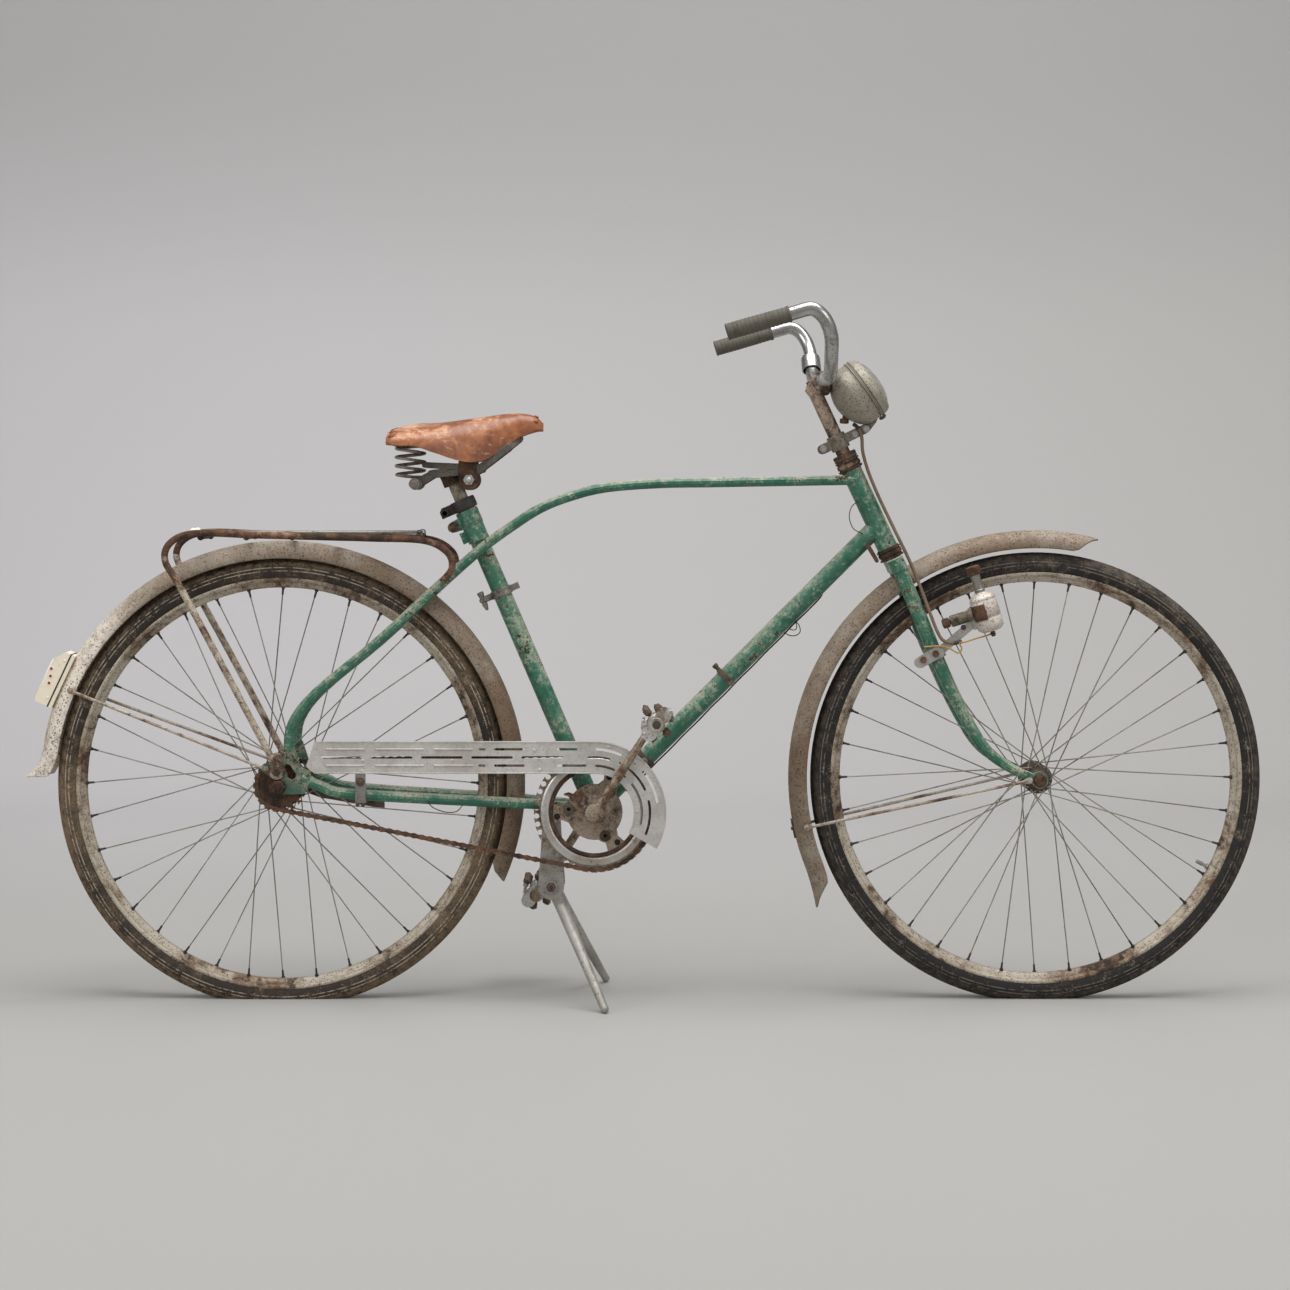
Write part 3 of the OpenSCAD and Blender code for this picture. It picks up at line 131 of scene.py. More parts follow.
def pathFrames(path, ref):
    # two directions square to the path's tangent, found by central differences, the first nearest to ref
    path = np.asarray(path, float)
    tangent = unit(np.gradient(path, axis=0))
    ref = np.broadcast_to(np.asarray(ref, float), path.shape)
    side = unit(ref - (ref * tangent).sum(1, keepdims=True) * tangent)
    return side, np.cross(tangent, side)


def tube(path, radius, sides=12, ref=(0, 1, 0)):
    # a circle of the given radius carried along the path, square to it
    path = np.asarray(path, float)
    side, up = pathFrames(path, ref)
    r = np.broadcast_to(np.asarray(radius, float) * mm, (len(path),))[:, None, None]
    a = np.arange(sides) * 2 * np.pi / sides
    circle = np.cos(a)[None, :, None] * side[:, None] + np.sin(a)[None, :, None] * up[:, None]
    return loft(path[:, None] + r * circle)


def carried(profile, path, ref):
    # a closed outline (across, out) in mm carried along the path, across along ref, out square to both
    outline = np.asarray(profile, float)[None] * mm
    side, up = pathFrames(path, ref)
    return loft(np.asarray(path, float)[:, None] + outline[..., :1] * side[:, None] + outline[..., 1:] * up[:, None])


def lathe(profile, centre, axis=(0, 1, 0), segments=48, loop=False):
    # (radius, height) points in mm turned about an axis through centre
    profile = np.asarray(profile, float) * mm
    axis = unit(axis)
    ref = np.array([0.0, 0, 1]) if abs(axis[2]) < 0.9 else np.array([1.0, 0, 0])
    u = unit(np.cross(axis, ref))
    v = np.cross(axis, u)
    a = np.arange(segments) * 2 * np.pi / segments
    ring = np.cos(a)[:, None] * u + np.sin(a)[:, None] * v
    rings = np.asarray(centre)[None, None] + profile[:, 0, None, None] * ring + profile[:, 1, None, None] * axis
    return loft(rings, loop=loop)


def slab(outline, centre, across, up, thick, bevel=0.4):
    # a flat outline (across, up) in mm, thick along across x up, with its two rims drawn in by the bevel
    outline = np.asarray(outline, float)
    across, up = unit(across), unit(up)
    out = np.cross(across, up)
    inward = unit(np.roll(outline, -1, 0) - np.roll(outline, 1, 0))
    inward = np.stack([-inward[:, 1], inward[:, 0]], axis=1)
    area = np.sum(outline[:, 0] * np.roll(outline[:, 1], -1) - np.roll(outline[:, 0], -1) * outline[:, 1])
    inward *= np.sign(area)
    rings = []
    for shrink, h in ((bevel, -thick / 2), (0, -thick / 2 + bevel), (0, thick / 2 - bevel), (bevel, thick / 2)):
        p = outline + shrink * inward
        rings.append(np.asarray(centre) + (p[:, :1] * across + p[:, 1:] * up + h * out) * mm)
    return loft(rings)


def smoothPath(points, per=8):
    # a Catmull-Rom curve through the points, worked out for all spans at once
    p = np.asarray(points, float)
    p = np.vstack([2 * p[:1] - p[1:2], p, 2 * p[-1:] - p[-2:-1]])
    a, b, c, d = p[:-3, None], p[1:-2, None], p[2:-1, None], p[3:, None]
    t = (np.arange(per) / per)[None, :, None]
    q = 0.5 * (2 * b + (c - a) * t + (2 * a - 5 * b + 4 * c - d) * t ** 2 + (3 * b - a - 3 * c + d) * t ** 3)
    return np.vstack([q.reshape(-1, 3), p[-2:-1]])


def joined(parts):
    # several surfaces as one
    verts, faces, start = [], [], 0
    for v, f in parts:
        verts.append(v)
        faces += [[i + start for i in g] for g in f]
        start += len(v)
    return np.vstack(verts), faces


def repeated(part, turns, shifts):
    # one small surface copied, turned by each 3 x 3 matrix and then shifted
    verts, faces = part
    turns, shifts = np.asarray(turns), np.asarray(shifts)
    copies = np.einsum("kij,nj->kni", turns, verts) + shifts[:, None]
    n = len(verts)
    return copies.reshape(-1, 3), [[i + k * n for i in f] for k in range(len(turns)) for f in faces]


def turnY(degrees):
    # turns about the wheel's axle, counted as polar() counts
    a = np.radians(np.asarray(degrees, float))
    c, s, zero, one = np.cos(a), np.sin(a), 0 * a, 0 * a + 1
    return np.stack([np.stack([c, zero, -s], -1), np.stack([zero, one, zero], -1), np.stack([s, zero, c], -1)], -2)


def mirrored(part):
    # the other side's copy, its faces turned to point outwards again
    verts, faces = part
    return verts * np.array([1, -1, 1]), [f[::-1] for f in faces]


def hexNut(centre, axis, flat, high):
    # six-sided, its corners turned down by a small chamfer
    r = flat / math.sqrt(3)
    c = flat * 0.06
    return lathe([(r - c, 0), (r, c), (r, high - c), (r - c, high)], centre, axis, segments=6)


def domed(centre, axis, r, high):
    # a rivet or bolt head: a flat cone topped by an arc
    a = np.radians(np.arange(0, 91, 15))
    arc = [(r * math.cos(t) ** 0.9, high * (0.25 + 0.75 * math.sin(t))) for t in a[:-1]]
    return lathe([(r, 0), *arc, (r * 0.02, high)], centre, axis, segments=20)


def make(name, part, body, finish, replaces=(), angle=40):
    # puts a surface into a Blender object that rides on a body
    verts, faces = part
    mesh = bpy.data.meshes.new(name)
    mesh.from_pydata(verts.tolist(), [], faces)
    mesh.update()
    obj = bpy.data.objects.new(name, mesh)
    bpy.context.scene.collection.objects.link(obj)
    mesh.materials.append(finish)
    mesh.shade_smooth()
    mesh.set_sharp_from_angle(angle=math.radians(angle))
    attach(obj, body)
    if replaces:
        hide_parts(*replaces)
    return obj


def rods(starts, ends, startR, endR=None, sides=8):
    # straight round rods between matching rows of points, each closed at both ends
    starts, ends = np.atleast_2d(starts), np.atleast_2d(ends)
    endR = startR if endR is None else endR
    axis = unit(ends - starts)
    ref = np.where(np.abs(axis[:, 2:]) < 0.9, [[0.0, 0, 1]], [[1.0, 0, 0]])
    u = unit(np.cross(axis, ref))
    v = np.cross(axis, u)
    a = np.arange(sides) * 2 * np.pi / sides
    ring = np.cos(a)[None, :, None] * u[:, None] + np.sin(a)[None, :, None] * v[:, None]
    low = starts[:, None] + startR * mm * ring
    high = ends[:, None] + endR * mm * ring
    verts = np.stack([low, high], 1).reshape(-1, 3)
    i = np.arange(sides)
    j = (i + 1) % sides
    walls = np.stack([i, j, sides + j, sides + i], 1).tolist()
    one = walls + [i[::-1].tolist(), (sides + i).tolist()]
    return verts, [[c + k * 2 * sides for c in f] for k in range(len(starts)) for f in one]


def roundBar(length, startR, endR):
    # outline in mm of a flat bar from 0 to length with round ends
    a = np.radians(np.linspace(90, 270, 7))
    b = np.radians(np.linspace(-90, 90, 7))
    start = np.stack([startR * np.cos(a), startR * np.sin(a)], 1)
    end = np.stack([length + endR * np.cos(b), endR * np.sin(b)], 1)
    return np.vstack([start, end])


def strap(start, end, startR, endR, thick, out=(0, -1, 0), bevel=0.4):
    # a flat bar with round ends between two places, its face square to out
    start, end = np.asarray(start, float), np.asarray(end, float)
    across = unit(end - start)
    up = unit(np.cross(out, across))
    length = np.linalg.norm(end - start) / mm
    return slab(roundBar(length, startR, endR), start, across, up, thick, bevel)


def ringNut(centre, axis, outer, hole, high, segments=24):
    # a washer or ring: square section with its rims turned down
    c = min(0.4, high * 0.25)
    profile = [(hole, 0), (outer - c, 0), (outer, c), (outer, high - c), (outer - c, high), (hole, high)]
    return lathe(profile, centre, axis, segments, loop=True)


class Val:
    # wraps a socket, so that sums on values write their own Math nodes
    def __init__(self, finish, socket):
        self.finish, self.socket = finish, socket

    def do(self, operation, *others, clamp=False):
        node = self.finish.add("ShaderNodeMath", {"operation": operation, "use_clamp": clamp},
                               dict(enumerate([self, *others])))
        return Val(self.finish, node.outputs[0])

    def __add__(self, other):
        return self.do("ADD", other)

    def __sub__(self, other):
        return self.do("SUBTRACT", other)

    def __rsub__(self, other):
        return (self * -1).do("ADD", other)

    def __mul__(self, other):
        return self.do("MULTIPLY", other)

    def __pow__(self, other):
        return self.do("POWER", other)

    __radd__ = __add__
    __rmul__ = __mul__

    def between(self, low, high):
        # 0 below low, 1 above high, smooth between; the two may be the other way round
        node = self.finish.add("ShaderNodeMapRange", {"interpolation_type": "SMOOTHSTEP"},
                               {0: self, 1: min(low, high), 2: max(low, high),
                                3: 0.0 if low < high else 1.0, 4: 1.0 if low < high else 0.0})
        return Val(self.finish, node.outputs[0])

    def held(self):
        # kept within 0 and 1
        return self.do("ADD", 0.0, clamp=True)

    def orMore(self, other):
        return self.do("MAXIMUM", other)


def linear(r, g, b):
    # screen values 0 to 255 as the linear colour that the shaders take
    c = np.array([r, g, b], float) / 255
    c = np.where(c < 0.04045, c / 12.92, ((c + 0.055) / 1.055) ** 2.4)
    return (*c.tolist(), 1.0)


class Finish:
    # one material under construction round a Principled shader
    def __init__(self, name, **uniform):
        self.material = bpy.data.materials.new(name)
        self.material.use_nodes = True
        self.tree = self.material.node_tree
        self.shader = self.tree.nodes["Principled BSDF"]
        for socket, value in uniform.items():
            self.shader.inputs[socket.replace("_", " ")].default_value = value
        self.coord = self.add("ShaderNodeTexCoord")
        self.point = self.coord.outputs["Object"]

    def add(self, kind, settings=None, sockets=None):
        node = self.tree.nodes.new(kind)
        for name, value in (settings or {}).items():
            setattr(node, name, value)
        for key, value in (sockets or {}).items():
            if isinstance(value, Val):
                value = value.socket
            if isinstance(value, bpy.types.NodeSocket):
                self.tree.links.new(value, node.inputs[key])
            elif value is not None:
                node.inputs[key].default_value = value
        return node

    def stretched(self, scale):
        return self.add("ShaderNodeMapping", {}, {"Vector": self.point, "Scale": scale}).outputs[0]

    def noise(self, scale, detail=4.0, rough=0.55, distort=0.0, point=None, offset=0.0):
        point = point or self.point
        if offset:
            point = self.add("ShaderNodeVectorMath", {"operation": "ADD"},
                             {0: point, 1: (offset, offset * 1.7, -offset)}).outputs[0]
        node = self.add("ShaderNodeTexNoise", {}, {"Vector": point, "Scale": scale, "Detail": detail,
                                                   "Roughness": rough, "Distortion": distort})
        return Val(self, node.outputs["Fac"])

    def spots(self, scale):
        node = self.add("ShaderNodeTexVoronoi", {}, {"Vector": self.point, "Scale": scale})
        return Val(self, node.outputs["Distance"])

    def cracks(self, scale):
        node = self.add("ShaderNodeTexVoronoi", {"feature": "DISTANCE_TO_EDGE"},
                        {"Vector": self.point, "Scale": scale})
        return Val(self, node.outputs["Distance"])

    def upward(self):
        # how far the surface faces up in the piece's own frame, -1 to 1
        return self.part(self.coord.outputs["Normal"], 2)

    def part(self, vector, index):
        return Val(self, self.add("ShaderNodeSeparateXYZ", {}, {0: vector}).outputs[index])

    def mix(self, amount, first, second):
        node = self.add("ShaderNodeMix", {"data_type": "RGBA"}, {0: amount, 6: first, 7: second})
        return node.outputs[2]

    def set(self, colour, rough, metal=None, height=None, strength=0.5, depth=0.001):
        self.plug("Base Color", colour)
        self.plug("Roughness", rough)
        if metal is not None:
            self.plug("Metallic", metal)
        if height is not None:
            bump = self.add("ShaderNodeBump", {}, {"Strength": strength, "Distance": depth, "Height": height})
            self.plug("Normal", bump.outputs[0])
        return self.material

    def plug(self, socket, value):
        if isinstance(value, Val):
            value = value.socket
        if isinstance(value, bpy.types.NodeSocket):
            self.tree.links.new(value, self.shader.inputs[socket])
        else:
            self.shader.inputs[socket].default_value = value


rustTones = dict(dark=linear(48, 35, 28), mid=linear(96, 68, 51), bright=linear(140, 96, 64),
                 dust=linear(176, 161, 143))


def rustColour(f, seed=0.0):
    # dark brown to orange, in blotches and fine grains
    blotch = f.noise(34, 6, 0.65, 0.6, offset=3.1 + seed)
    grain = f.noise(420, 3, 0.6, offset=7.7 + seed)
    tone = f.mix(blotch.between(0.38, 0.66), rustTones["dark"], rustTones["mid"])
    tone = f.mix((grain * 0.8 + blotch * 0.5).between(0.68, 0.92), tone, rustTones["bright"])
    return f.mix(f.noise(900, 2, 0.5, offset=seed + 1).between(0.6, 0.75) * 0.35, tone, rustTones["dust"])


def agedPaint(name, paint, faded, worn, chips=0.5, wear=0.5, gloss=0.42, seed=0.0):
    # sound paint, bleached and dusty where it faces up, chipped through to rust in spots
    f = Finish(name)
    wide = f.noise(9, 5, 0.6, 0.4, offset=seed + 0.3)
    close = f.noise(60, 6, 0.65, 0.3, offset=seed + 5.2)
    fine = f.noise(330, 4, 0.6, offset=seed + 2.4)
    up = f.upward()
    tone = f.mix((wide * 0.6 + close * 0.5).between(0.42, 0.7), paint, faded)
    dusty = (up * 0.30 + wide * 0.5 + close * 0.55 + fine * 0.25 + (wear - 0.5) * 0.5).between(0.74, 1.04)
    tone = f.mix(dusty * 0.85, tone, worn)
    stain = (close * 0.7 + fine * 0.3 + (chips - 0.5) * 0.2).between(0.57, 0.68) * 0.55
    tone = f.mix(stain, tone, linear(122, 96, 70))
    pit = f.spots(150).between(0.32, 0.12) * (wide + close * 0.7 + (chips - 0.5) * 0.5).between(0.86, 1.06)
    flake = (close * 0.75 + fine * 0.35 + wide * 0.25 + (chips - 0.5) * 0.3).between(0.80, 0.84)
    mottle = (f.noise(120, 6, 0.72, 0.2, offset=seed + 8.3) * 0.75 + wide * 0.45 + up * 0.06 + (wear - 0.5) * 0.3)
    tone = f.mix(mottle.between(0.63, 0.76) * 0.72, tone, worn)
    freckle = f.spots(270).between(0.38, 0.14) * close.between(0.40, 0.56)
    bare = pit.orMore(flake).orMore(freckle * 0.85).held()
    tone = f.mix(bare, tone, rustColour(f, seed))
    height = fine * 0.25 + (1 - bare) * 0.8 + close * 0.25
    rough = (bare * 0.4 + dusty * 0.3 + gloss).held()
    return f.set(tone, rough, height=height, strength=0.55, depth=0.0006)


def agedSteel(name, bright, rust=0.5, metal=0.6, speckle=0.5, pale=None, seed=0.0, rough=0.5, grain=1.0):
    # dull plating or bare steel with rust in blotches and freckles, and pale dust between
    f = Finish(name)
    wide = f.noise(11 * grain, 5, 0.6, 0.5, offset=seed + 0.6)
    close = f.noise(85 * grain, 6, 0.68, 0.3, offset=seed + 4.4)
    fine = f.noise(420 * grain, 4, 0.65, offset=seed + 9.1)
    base = f.mix(wide.between(0.35, 0.7), bright, pale or bright)
    dim = (close * 0.6 + fine * 0.5).between(0.5, 0.72)
    base = f.mix(dim * 0.55, base, tuple(c * 0.45 for c in bright[:3]) + (1.0,))
    blotch = (wide * 0.65 + close * 0.55 + fine * 0.2 + (rust - 0.5) * 0.6).between(0.70, 0.86)
    freckle = f.spots(260 * grain).between(0.36, 0.14) * (close + (speckle - 0.5) * 0.8).between(0.42, 0.62)
    bare = blotch.orMore(freckle * 0.9).held()
    tone = f.mix(bare, base, rustColour(f, seed))
    height = fine * 0.6 + (1 - bare) * 0.6 + close * 0.3
    return f.set(tone, (bare * 0.35 + fine * 0.25 + (rough - 0.1)).held(), (1 - bare) * metal,
                 height=height, strength=0.6, depth=0.0006)


def fenderFinish(name, seed, whiteTail):
    # thin old paint gone to beige and brown, freckled with rust; the rear one's tail still carries cream paint
    f = Finish(name)
    wide = f.noise(6, 5, 0.6, 0.5, offset=seed)
    close = f.noise(75, 6, 0.7, 0.3, offset=seed + 3)
    fine = f.noise(360, 4, 0.65, offset=seed + 6)
    tone = f.mix(wide.between(0.40, 0.64), linear(144, 133, 118), linear(112, 93, 73))
    tone = f.mix((close * 0.6 + fine * 0.5).between(0.50, 0.66) * 0.55, tone, linear(98, 76, 56))
    tone = f.mix((close * 0.5 + fine * 0.5 + f.upward() * 0.12).between(0.52, 0.72) * 0.5, tone, linear(196, 184, 166))
    if whiteTail:
        # the cream starts where the carrier's legs cross, and fades back into rust over a hand's width
        back = (f.part(f.point, 0) * -1 + close * 0.08 + wide * 0.06).between(0.83, 0.93)
        tone = f.mix(back * 0.88, tone, linear(234, 224, 210))
    cloud = (f.noise(38, 6, 0.7, 0.4, offset=seed + 9) * 0.8 + fine * 0.3).between(0.52, 0.68)
    tone = f.mix(cloud * 0.5, tone, linear(104, 84, 66))
    bare = f.spots(230).between(0.42, 0.16) * (close * 0.7 + wide * 0.4).between(0.44, 0.58)
    bare = bare.orMore(f.spots(430).between(0.36, 0.14) * fine.between(0.42, 0.55) * 0.8)
    flake = (close * 0.7 + fine * 0.3 + wide * 0.3).between(0.74, 0.80) * 0.8
    bare = bare.orMore(flake).held()
    tone = f.mix(bare * 0.9, tone, rustColour(f, seed))
    return f.set(tone, (0.5 + bare * 0.25 + fine * 0.2).held(), (1 - bare) * 0.12,
                 height=fine * 0.5 + close * 0.4 + (1 - bare) * 0.6, strength=0.6, depth=0.0006)


def tyreRubber(name, black, dirt, amount, axle, band, seed=0.0):
    # perished rubber: fine cracks across the wall, dry dirt in patches, more of it on the shoulder, two worn
    # thin rings on the wall and a band of painted shade next to the rim, all found by their distance from the axle
    f = Finish(name, Specular_IOR_Level=0.3)
    ahead, high = f.part(f.point, 0) - axle[0], f.part(f.point, 2) - axle[2]
    out = (ahead * ahead + high * high) ** 0.5
    ringR = tyreR - 0.020
    grain = f.noise(90, 6, 0.7, 0.3, offset=seed + 8)
    zone = (out - ringR - 0.0075 + grain * 0.004).between(0.0, 0.004)
    rings = (out - ringR - 0.0046).do("ABSOLUTE").between(0.0013, 0.0003)
    rings = rings.orMore((out - ringR + 0.0006).do("ABSOLUTE").between(0.0012, 0.0003))
    # painted shade: the wall's lowest band, where the tyre meets the rim, is marked for darkening
    foot = (out - ringR + 0.013 - grain * 0.003).between(0.002, -0.002)
    wide = f.noise(7, 5, 0.62, 0.5, offset=seed)
    close = f.noise(70, 6, 0.7, 0.4, offset=seed + 3.3)
    fine = f.noise(500, 3, 0.6, offset=seed + 6.1)
    worn = (wide * 0.7 + close * 0.5 + fine * 0.25 + (amount - 0.5) * 0.6).between(0.66, 0.92)
    tone = f.mix(worn * 0.85, black, dirt)
    tone = f.mix(zone * grain.between(0.36, 0.6) * band, tone, dirt)
    tone = f.mix(rings * grain.between(0.4, 0.56) * band, tone, rustTones["dust"])
    # painted shade along the rim, near-black
    tone = f.mix(foot * 0.7, tone, linear(24, 21, 18))
    tone = f.mix((close * 0.6 + fine * 0.6).between(0.68, 0.8) * 0.6, tone, rustTones["dust"])
    crack = f.cracks(160).between(0.05, 0.0) * close.between(0.42, 0.6)
    tone = f.mix(crack * 0.8, tone, linear(16, 14, 12))
    return f.set(tone, (0.72 + fine * 0.25).held(), height=close * 0.6 + fine * 0.4 - crack * 0.9,
                 strength=0.7, depth=0.0009)


def wornLeather(name):
    # polished tan hide, bleached and scuffed on its crown, darker in patches, its pores and wrinkles pressed in
    f = Finish(name, Coat_Weight=0.2, Coat_Roughness=0.3)
    wide = f.noise(16, 5, 0.6, 0.7, offset=1.4)
    close = f.noise(85, 6, 0.66, 0.5, offset=2.2)
    fine = f.noise(640, 3, 0.6, offset=0.4)
    tone = f.mix((wide * 0.7 + close * 0.4).between(0.42, 0.68), linear(116, 62, 30), linear(164, 100, 58))
    scuff = (wide * 0.55 + close * 0.5 + fine * 0.25 + f.upward() * 0.1).between(0.72, 0.88)
    tone = f.mix(scuff * 0.75, tone, linear(204, 166, 136))
    streak = f.noise(1, 5, 0.7, 0.3, point=f.stretched((18, 90, 120))).between(0.60, 0.72)
    tone = f.mix(streak * 0.45, tone, linear(220, 196, 176))
    dark = (f.noise(45, 5, 0.6, offset=8.0)).between(0.60, 0.74)
    tone = f.mix(dark * 0.6, tone, linear(84, 42, 20))
    pore = f.spots(900).between(0.3, 0.1)
    wrinkle = f.cracks(120).between(0.08, 0.0) * wide.between(0.42, 0.6)
    return f.set(tone, (0.34 + scuff * 0.3 + fine * 0.15).held(),
                 height=close * 0.35 - pore * 0.3 - wrinkle * 0.6 + fine * 0.2, strength=0.55, depth=0.0005)


def agedChrome(name, rust):
    # bright plating under a film of dirt, pitted through to rust
    f = Finish(name)
    wide = f.noise(20, 4, 0.6, 0.4)
    close = f.noise(140, 6, 0.7, offset=2)
    fine = f.noise(700, 3, 0.6, offset=4)
    pit = f.spots(330).between(0.34, 0.1) * (wide * 0.6 + close * 0.6 + (rust - 0.5) * 0.5).between(0.58, 0.72)
    film = (wide * 0.5 + close * 0.5).between(0.46, 0.66)
    tone = f.mix(film * 0.6, linear(176, 176, 175), linear(118, 108, 96))
    tone = f.mix(pit.held(), tone, rustColour(f))
    return f.set(tone, (0.24 + film * 0.24 + pit * 0.5).held(), 1 - pit,
                 height=fine * 0.2 - pit * 0.7, strength=0.4, depth=0.0004)


def plainGrime(name, colour, dirt, rough=0.7, amount=0.5, seed=0.0, grain=1.0, **uniform):
    # an even colour with dirt settled in patches and specks
    f = Finish(name, **uniform)
    wide = f.noise(24 * grain, 5, 0.62, 0.4, offset=seed)
    close = f.noise(150 * grain, 5, 0.66, offset=seed + 3)
    fine = f.noise(700 * grain, 3, 0.6, offset=seed + 5)
    dirty = (wide * 0.6 + close * 0.6 + (amount - 0.5) * 0.6).between(0.58, 0.82)
    tone = f.mix(dirty * 0.8, colour, dirt)
    tone = f.mix(fine.between(0.60, 0.72) * 0.3, tone, dirt)
    return f.set(tone, (rough - 0.1 + fine * 0.25).held(),
                 height=close * 0.5 + fine * 0.5, strength=0.45, depth=0.0005)


tealPaint = agedPaint("teal paint", linear(28, 88, 68), linear(66, 122, 98), linear(166, 164, 146), 0.60, 0.60, 0.40)
tealDull = agedPaint("dull teal paint", linear(48, 84, 66), linear(98, 118, 98), linear(146, 138, 120), 0.70,
                     0.66, 0.5, seed=11)
steelRust = agedSteel("rusted steel", linear(140, 118, 98), 0.80, 0.15, 0.8, linear(168, 152, 134), 1.0, 0.62)
brownRust = agedSteel("brown rust", linear(112, 84, 66), 0.98, 0.05, 0.9, linear(140, 112, 90), 2.0, 0.7)
greySteel = agedSteel("dull steel", linear(150, 147, 140), 0.48, 0.65, 0.6, linear(122, 116, 107), 4.0, 0.42)
darkSteel = agedSteel("dark steel", linear(92, 84, 74), 0.6, 0.4, 0.6, linear(70, 60, 50), 5.0, 0.55)
rimSteel = agedSteel("rim steel", linear(186, 176, 160), 0.54, 0.35, 0.9, linear(142, 122, 98), 6.0, 0.5)
spokeSteel = agedSteel("spoke steel", linear(150, 146, 140), 0.38, 0.6, 0.4, linear(120, 112, 102), 7.0, 0.4)
alloyGrey = agedSteel("oxidised alloy", linear(203, 200, 195), 0.20, 0.40, 0.25, linear(184, 179, 172), 8.0, 0.48)
alloyRough = agedSteel("rough alloy", linear(176, 172, 166), 0.34, 0.45, 0.5, linear(142, 136, 128), 8.5, 0.5)
rearFenderSteel = fenderFinish("rear fender steel", 31.0, True)
frontFenderSteel = fenderFinish("front fender steel", 37.0, False)
stayWire = agedSteel("stay wire", linear(190, 182, 170), 0.52, 0.35, 0.6, linear(140, 118, 96), 12.0, 0.45)
carrierLegs = agedSteel("carrier legs", linear(184, 170, 152), 0.60, 0.2, 1.2, linear(150, 132, 112), 13.0, 0.55)
carrierRails = agedSteel("carrier rails", linear(142, 106, 84), 0.80, 0.1, 0.7, linear(168, 136, 114), 14.0, 0.62)
chainRust = agedSteel("chain rust", linear(104, 82, 58), 0.74, 0.25, 0.8, linear(82, 62, 44), 15.0, 0.6)
polishedRing = agedSteel("polished ring", linear(200, 198, 194), 0.36, 0.85, 0.4, linear(170, 160, 148), 16.0, 0.3)
pittedSteel = agedSteel("pitted steel", linear(150, 136, 120), 0.55, 0.35, 1.0, linear(128, 112, 96), 17.0, 0.55,
                        grain=1.4)
crankSteel = agedSteel("crank steel", linear(160, 148, 130), 0.58, 0.5, 0.7, linear(132, 112, 88), 18.0, 0.42)
pedalSteel = agedSteel("pedal steel", linear(206, 204, 200), 0.50, 0.6, 0.6, linear(150, 136, 118), 19.0, 0.4)
shadowSteel = agedSteel("shaded steel", linear(74, 66, 58), 0.6, 0.3, 0.5, linear(50, 44, 38), 20.0, 0.6)
copperRivet = agedSteel("copper rivets", linear(150, 96, 62), 0.4, 0.6, 0.4, linear(112, 74, 48), 22.0, 0.4)
springSteel = agedSteel("spring steel", linear(150, 144, 134), 0.5, 0.5, 0.6, linear(110, 100, 88), 23.0, 0.42)
darkRail = agedSteel("saddle rail steel", linear(112, 108, 100), 0.5, 0.4, 0.7, linear(72, 66, 58), 24.0, 0.5)
clampRust = agedSteel("rusty clamp", linear(122, 98, 82), 0.86, 0.2, 0.8, linear(96, 70, 56), 25.0, 0.62)
brightBolt = agedSteel("bright bolts", linear(192, 192, 188), 0.36, 0.7, 0.5, linear(160, 154, 144), 26.0, 0.34)
postSteel = agedSteel("post steel", linear(168, 158, 140), 0.52, 0.4, 0.6, linear(124, 108, 88), 27.0, 0.42)
blackSteel = agedSteel("blackened steel", linear(74, 68, 70), 0.45, 0.35, 0.6, linear(52, 46, 46), 28.0, 0.5)
brassNut = agedSteel("yellowed nut", linear(150, 140, 104), 0.55, 0.5, 0.7, linear(110, 98, 66), 29.0, 0.45)
stemRust = agedSteel("stem steel", linear(176, 156, 138), 0.60, 0.2, 0.9, linear(140, 116, 98), 30.0, 0.5)
lampSteel = agedSteel("lamp steel", linear(158, 152, 138), 0.46, 0.3, 1.0, linear(124, 116, 102), 32.0, 0.5)
bracketSteel = agedSteel("bracket steel", linear(126, 118, 106), 0.56, 0.4, 0.8, linear(96, 86, 74), 33.0, 0.5)
dynamoWhite = agedSteel("dynamo case", linear(206, 198, 188), 0.34, 0.15, 0.7, linear(184, 172, 158), 34.0, 0.45)
hingeSteel = agedSteel("hinge steel", linear(128, 122, 100), 0.5, 0.3, 0.7, linear(104, 96, 78), 35.0, 0.55)
paleLens = plainGrime("pale lens", linear(228, 224, 214), linear(178, 162, 142), 0.22, 0.3, seed=12)
conduit = plainGrime("cable conduit", linear(112, 92, 76), linear(72, 58, 48), 0.65, 0.5, seed=13)
chromeBars = agedChrome("old chrome", rust=0.62)
frontRubber = tyreRubber("front tyre rubber", linear(40, 38, 37), linear(118, 104, 90), 0.34, frontAxle, 0.3, 1.0)
rearRubber = tyreRubber("rear tyre rubber", linear(52, 46, 41), linear(126, 106, 84), 0.50, rearAxle, 0.85, 4.0)
leather = wornLeather("saddle leather")
gripRubber = plainGrime("grip rubber", linear(88, 84, 74), linear(52, 48, 41), 0.78, 0.5, seed=2)
blockRubber = plainGrime("block rubber", linear(70, 58, 48), linear(112, 90, 68), 0.8, 0.6, seed=3)
wireBlack = plainGrime("black wire", linear(40, 37, 33), linear(96, 82, 66), 0.6, 0.4, seed=4)
wireYellow = plainGrime("yellow wire", linear(168, 134, 74), linear(96, 78, 50), 0.6, 0.4, seed=5)
cream = plainGrime("cream enamel", linear(233, 222, 200), linear(176, 156, 132), 0.42, 0.34, seed=6, grain=0.8)
redDot = plainGrime("red dots", linear(150, 32, 30), linear(96, 30, 24), 0.3, 0.3, seed=7)
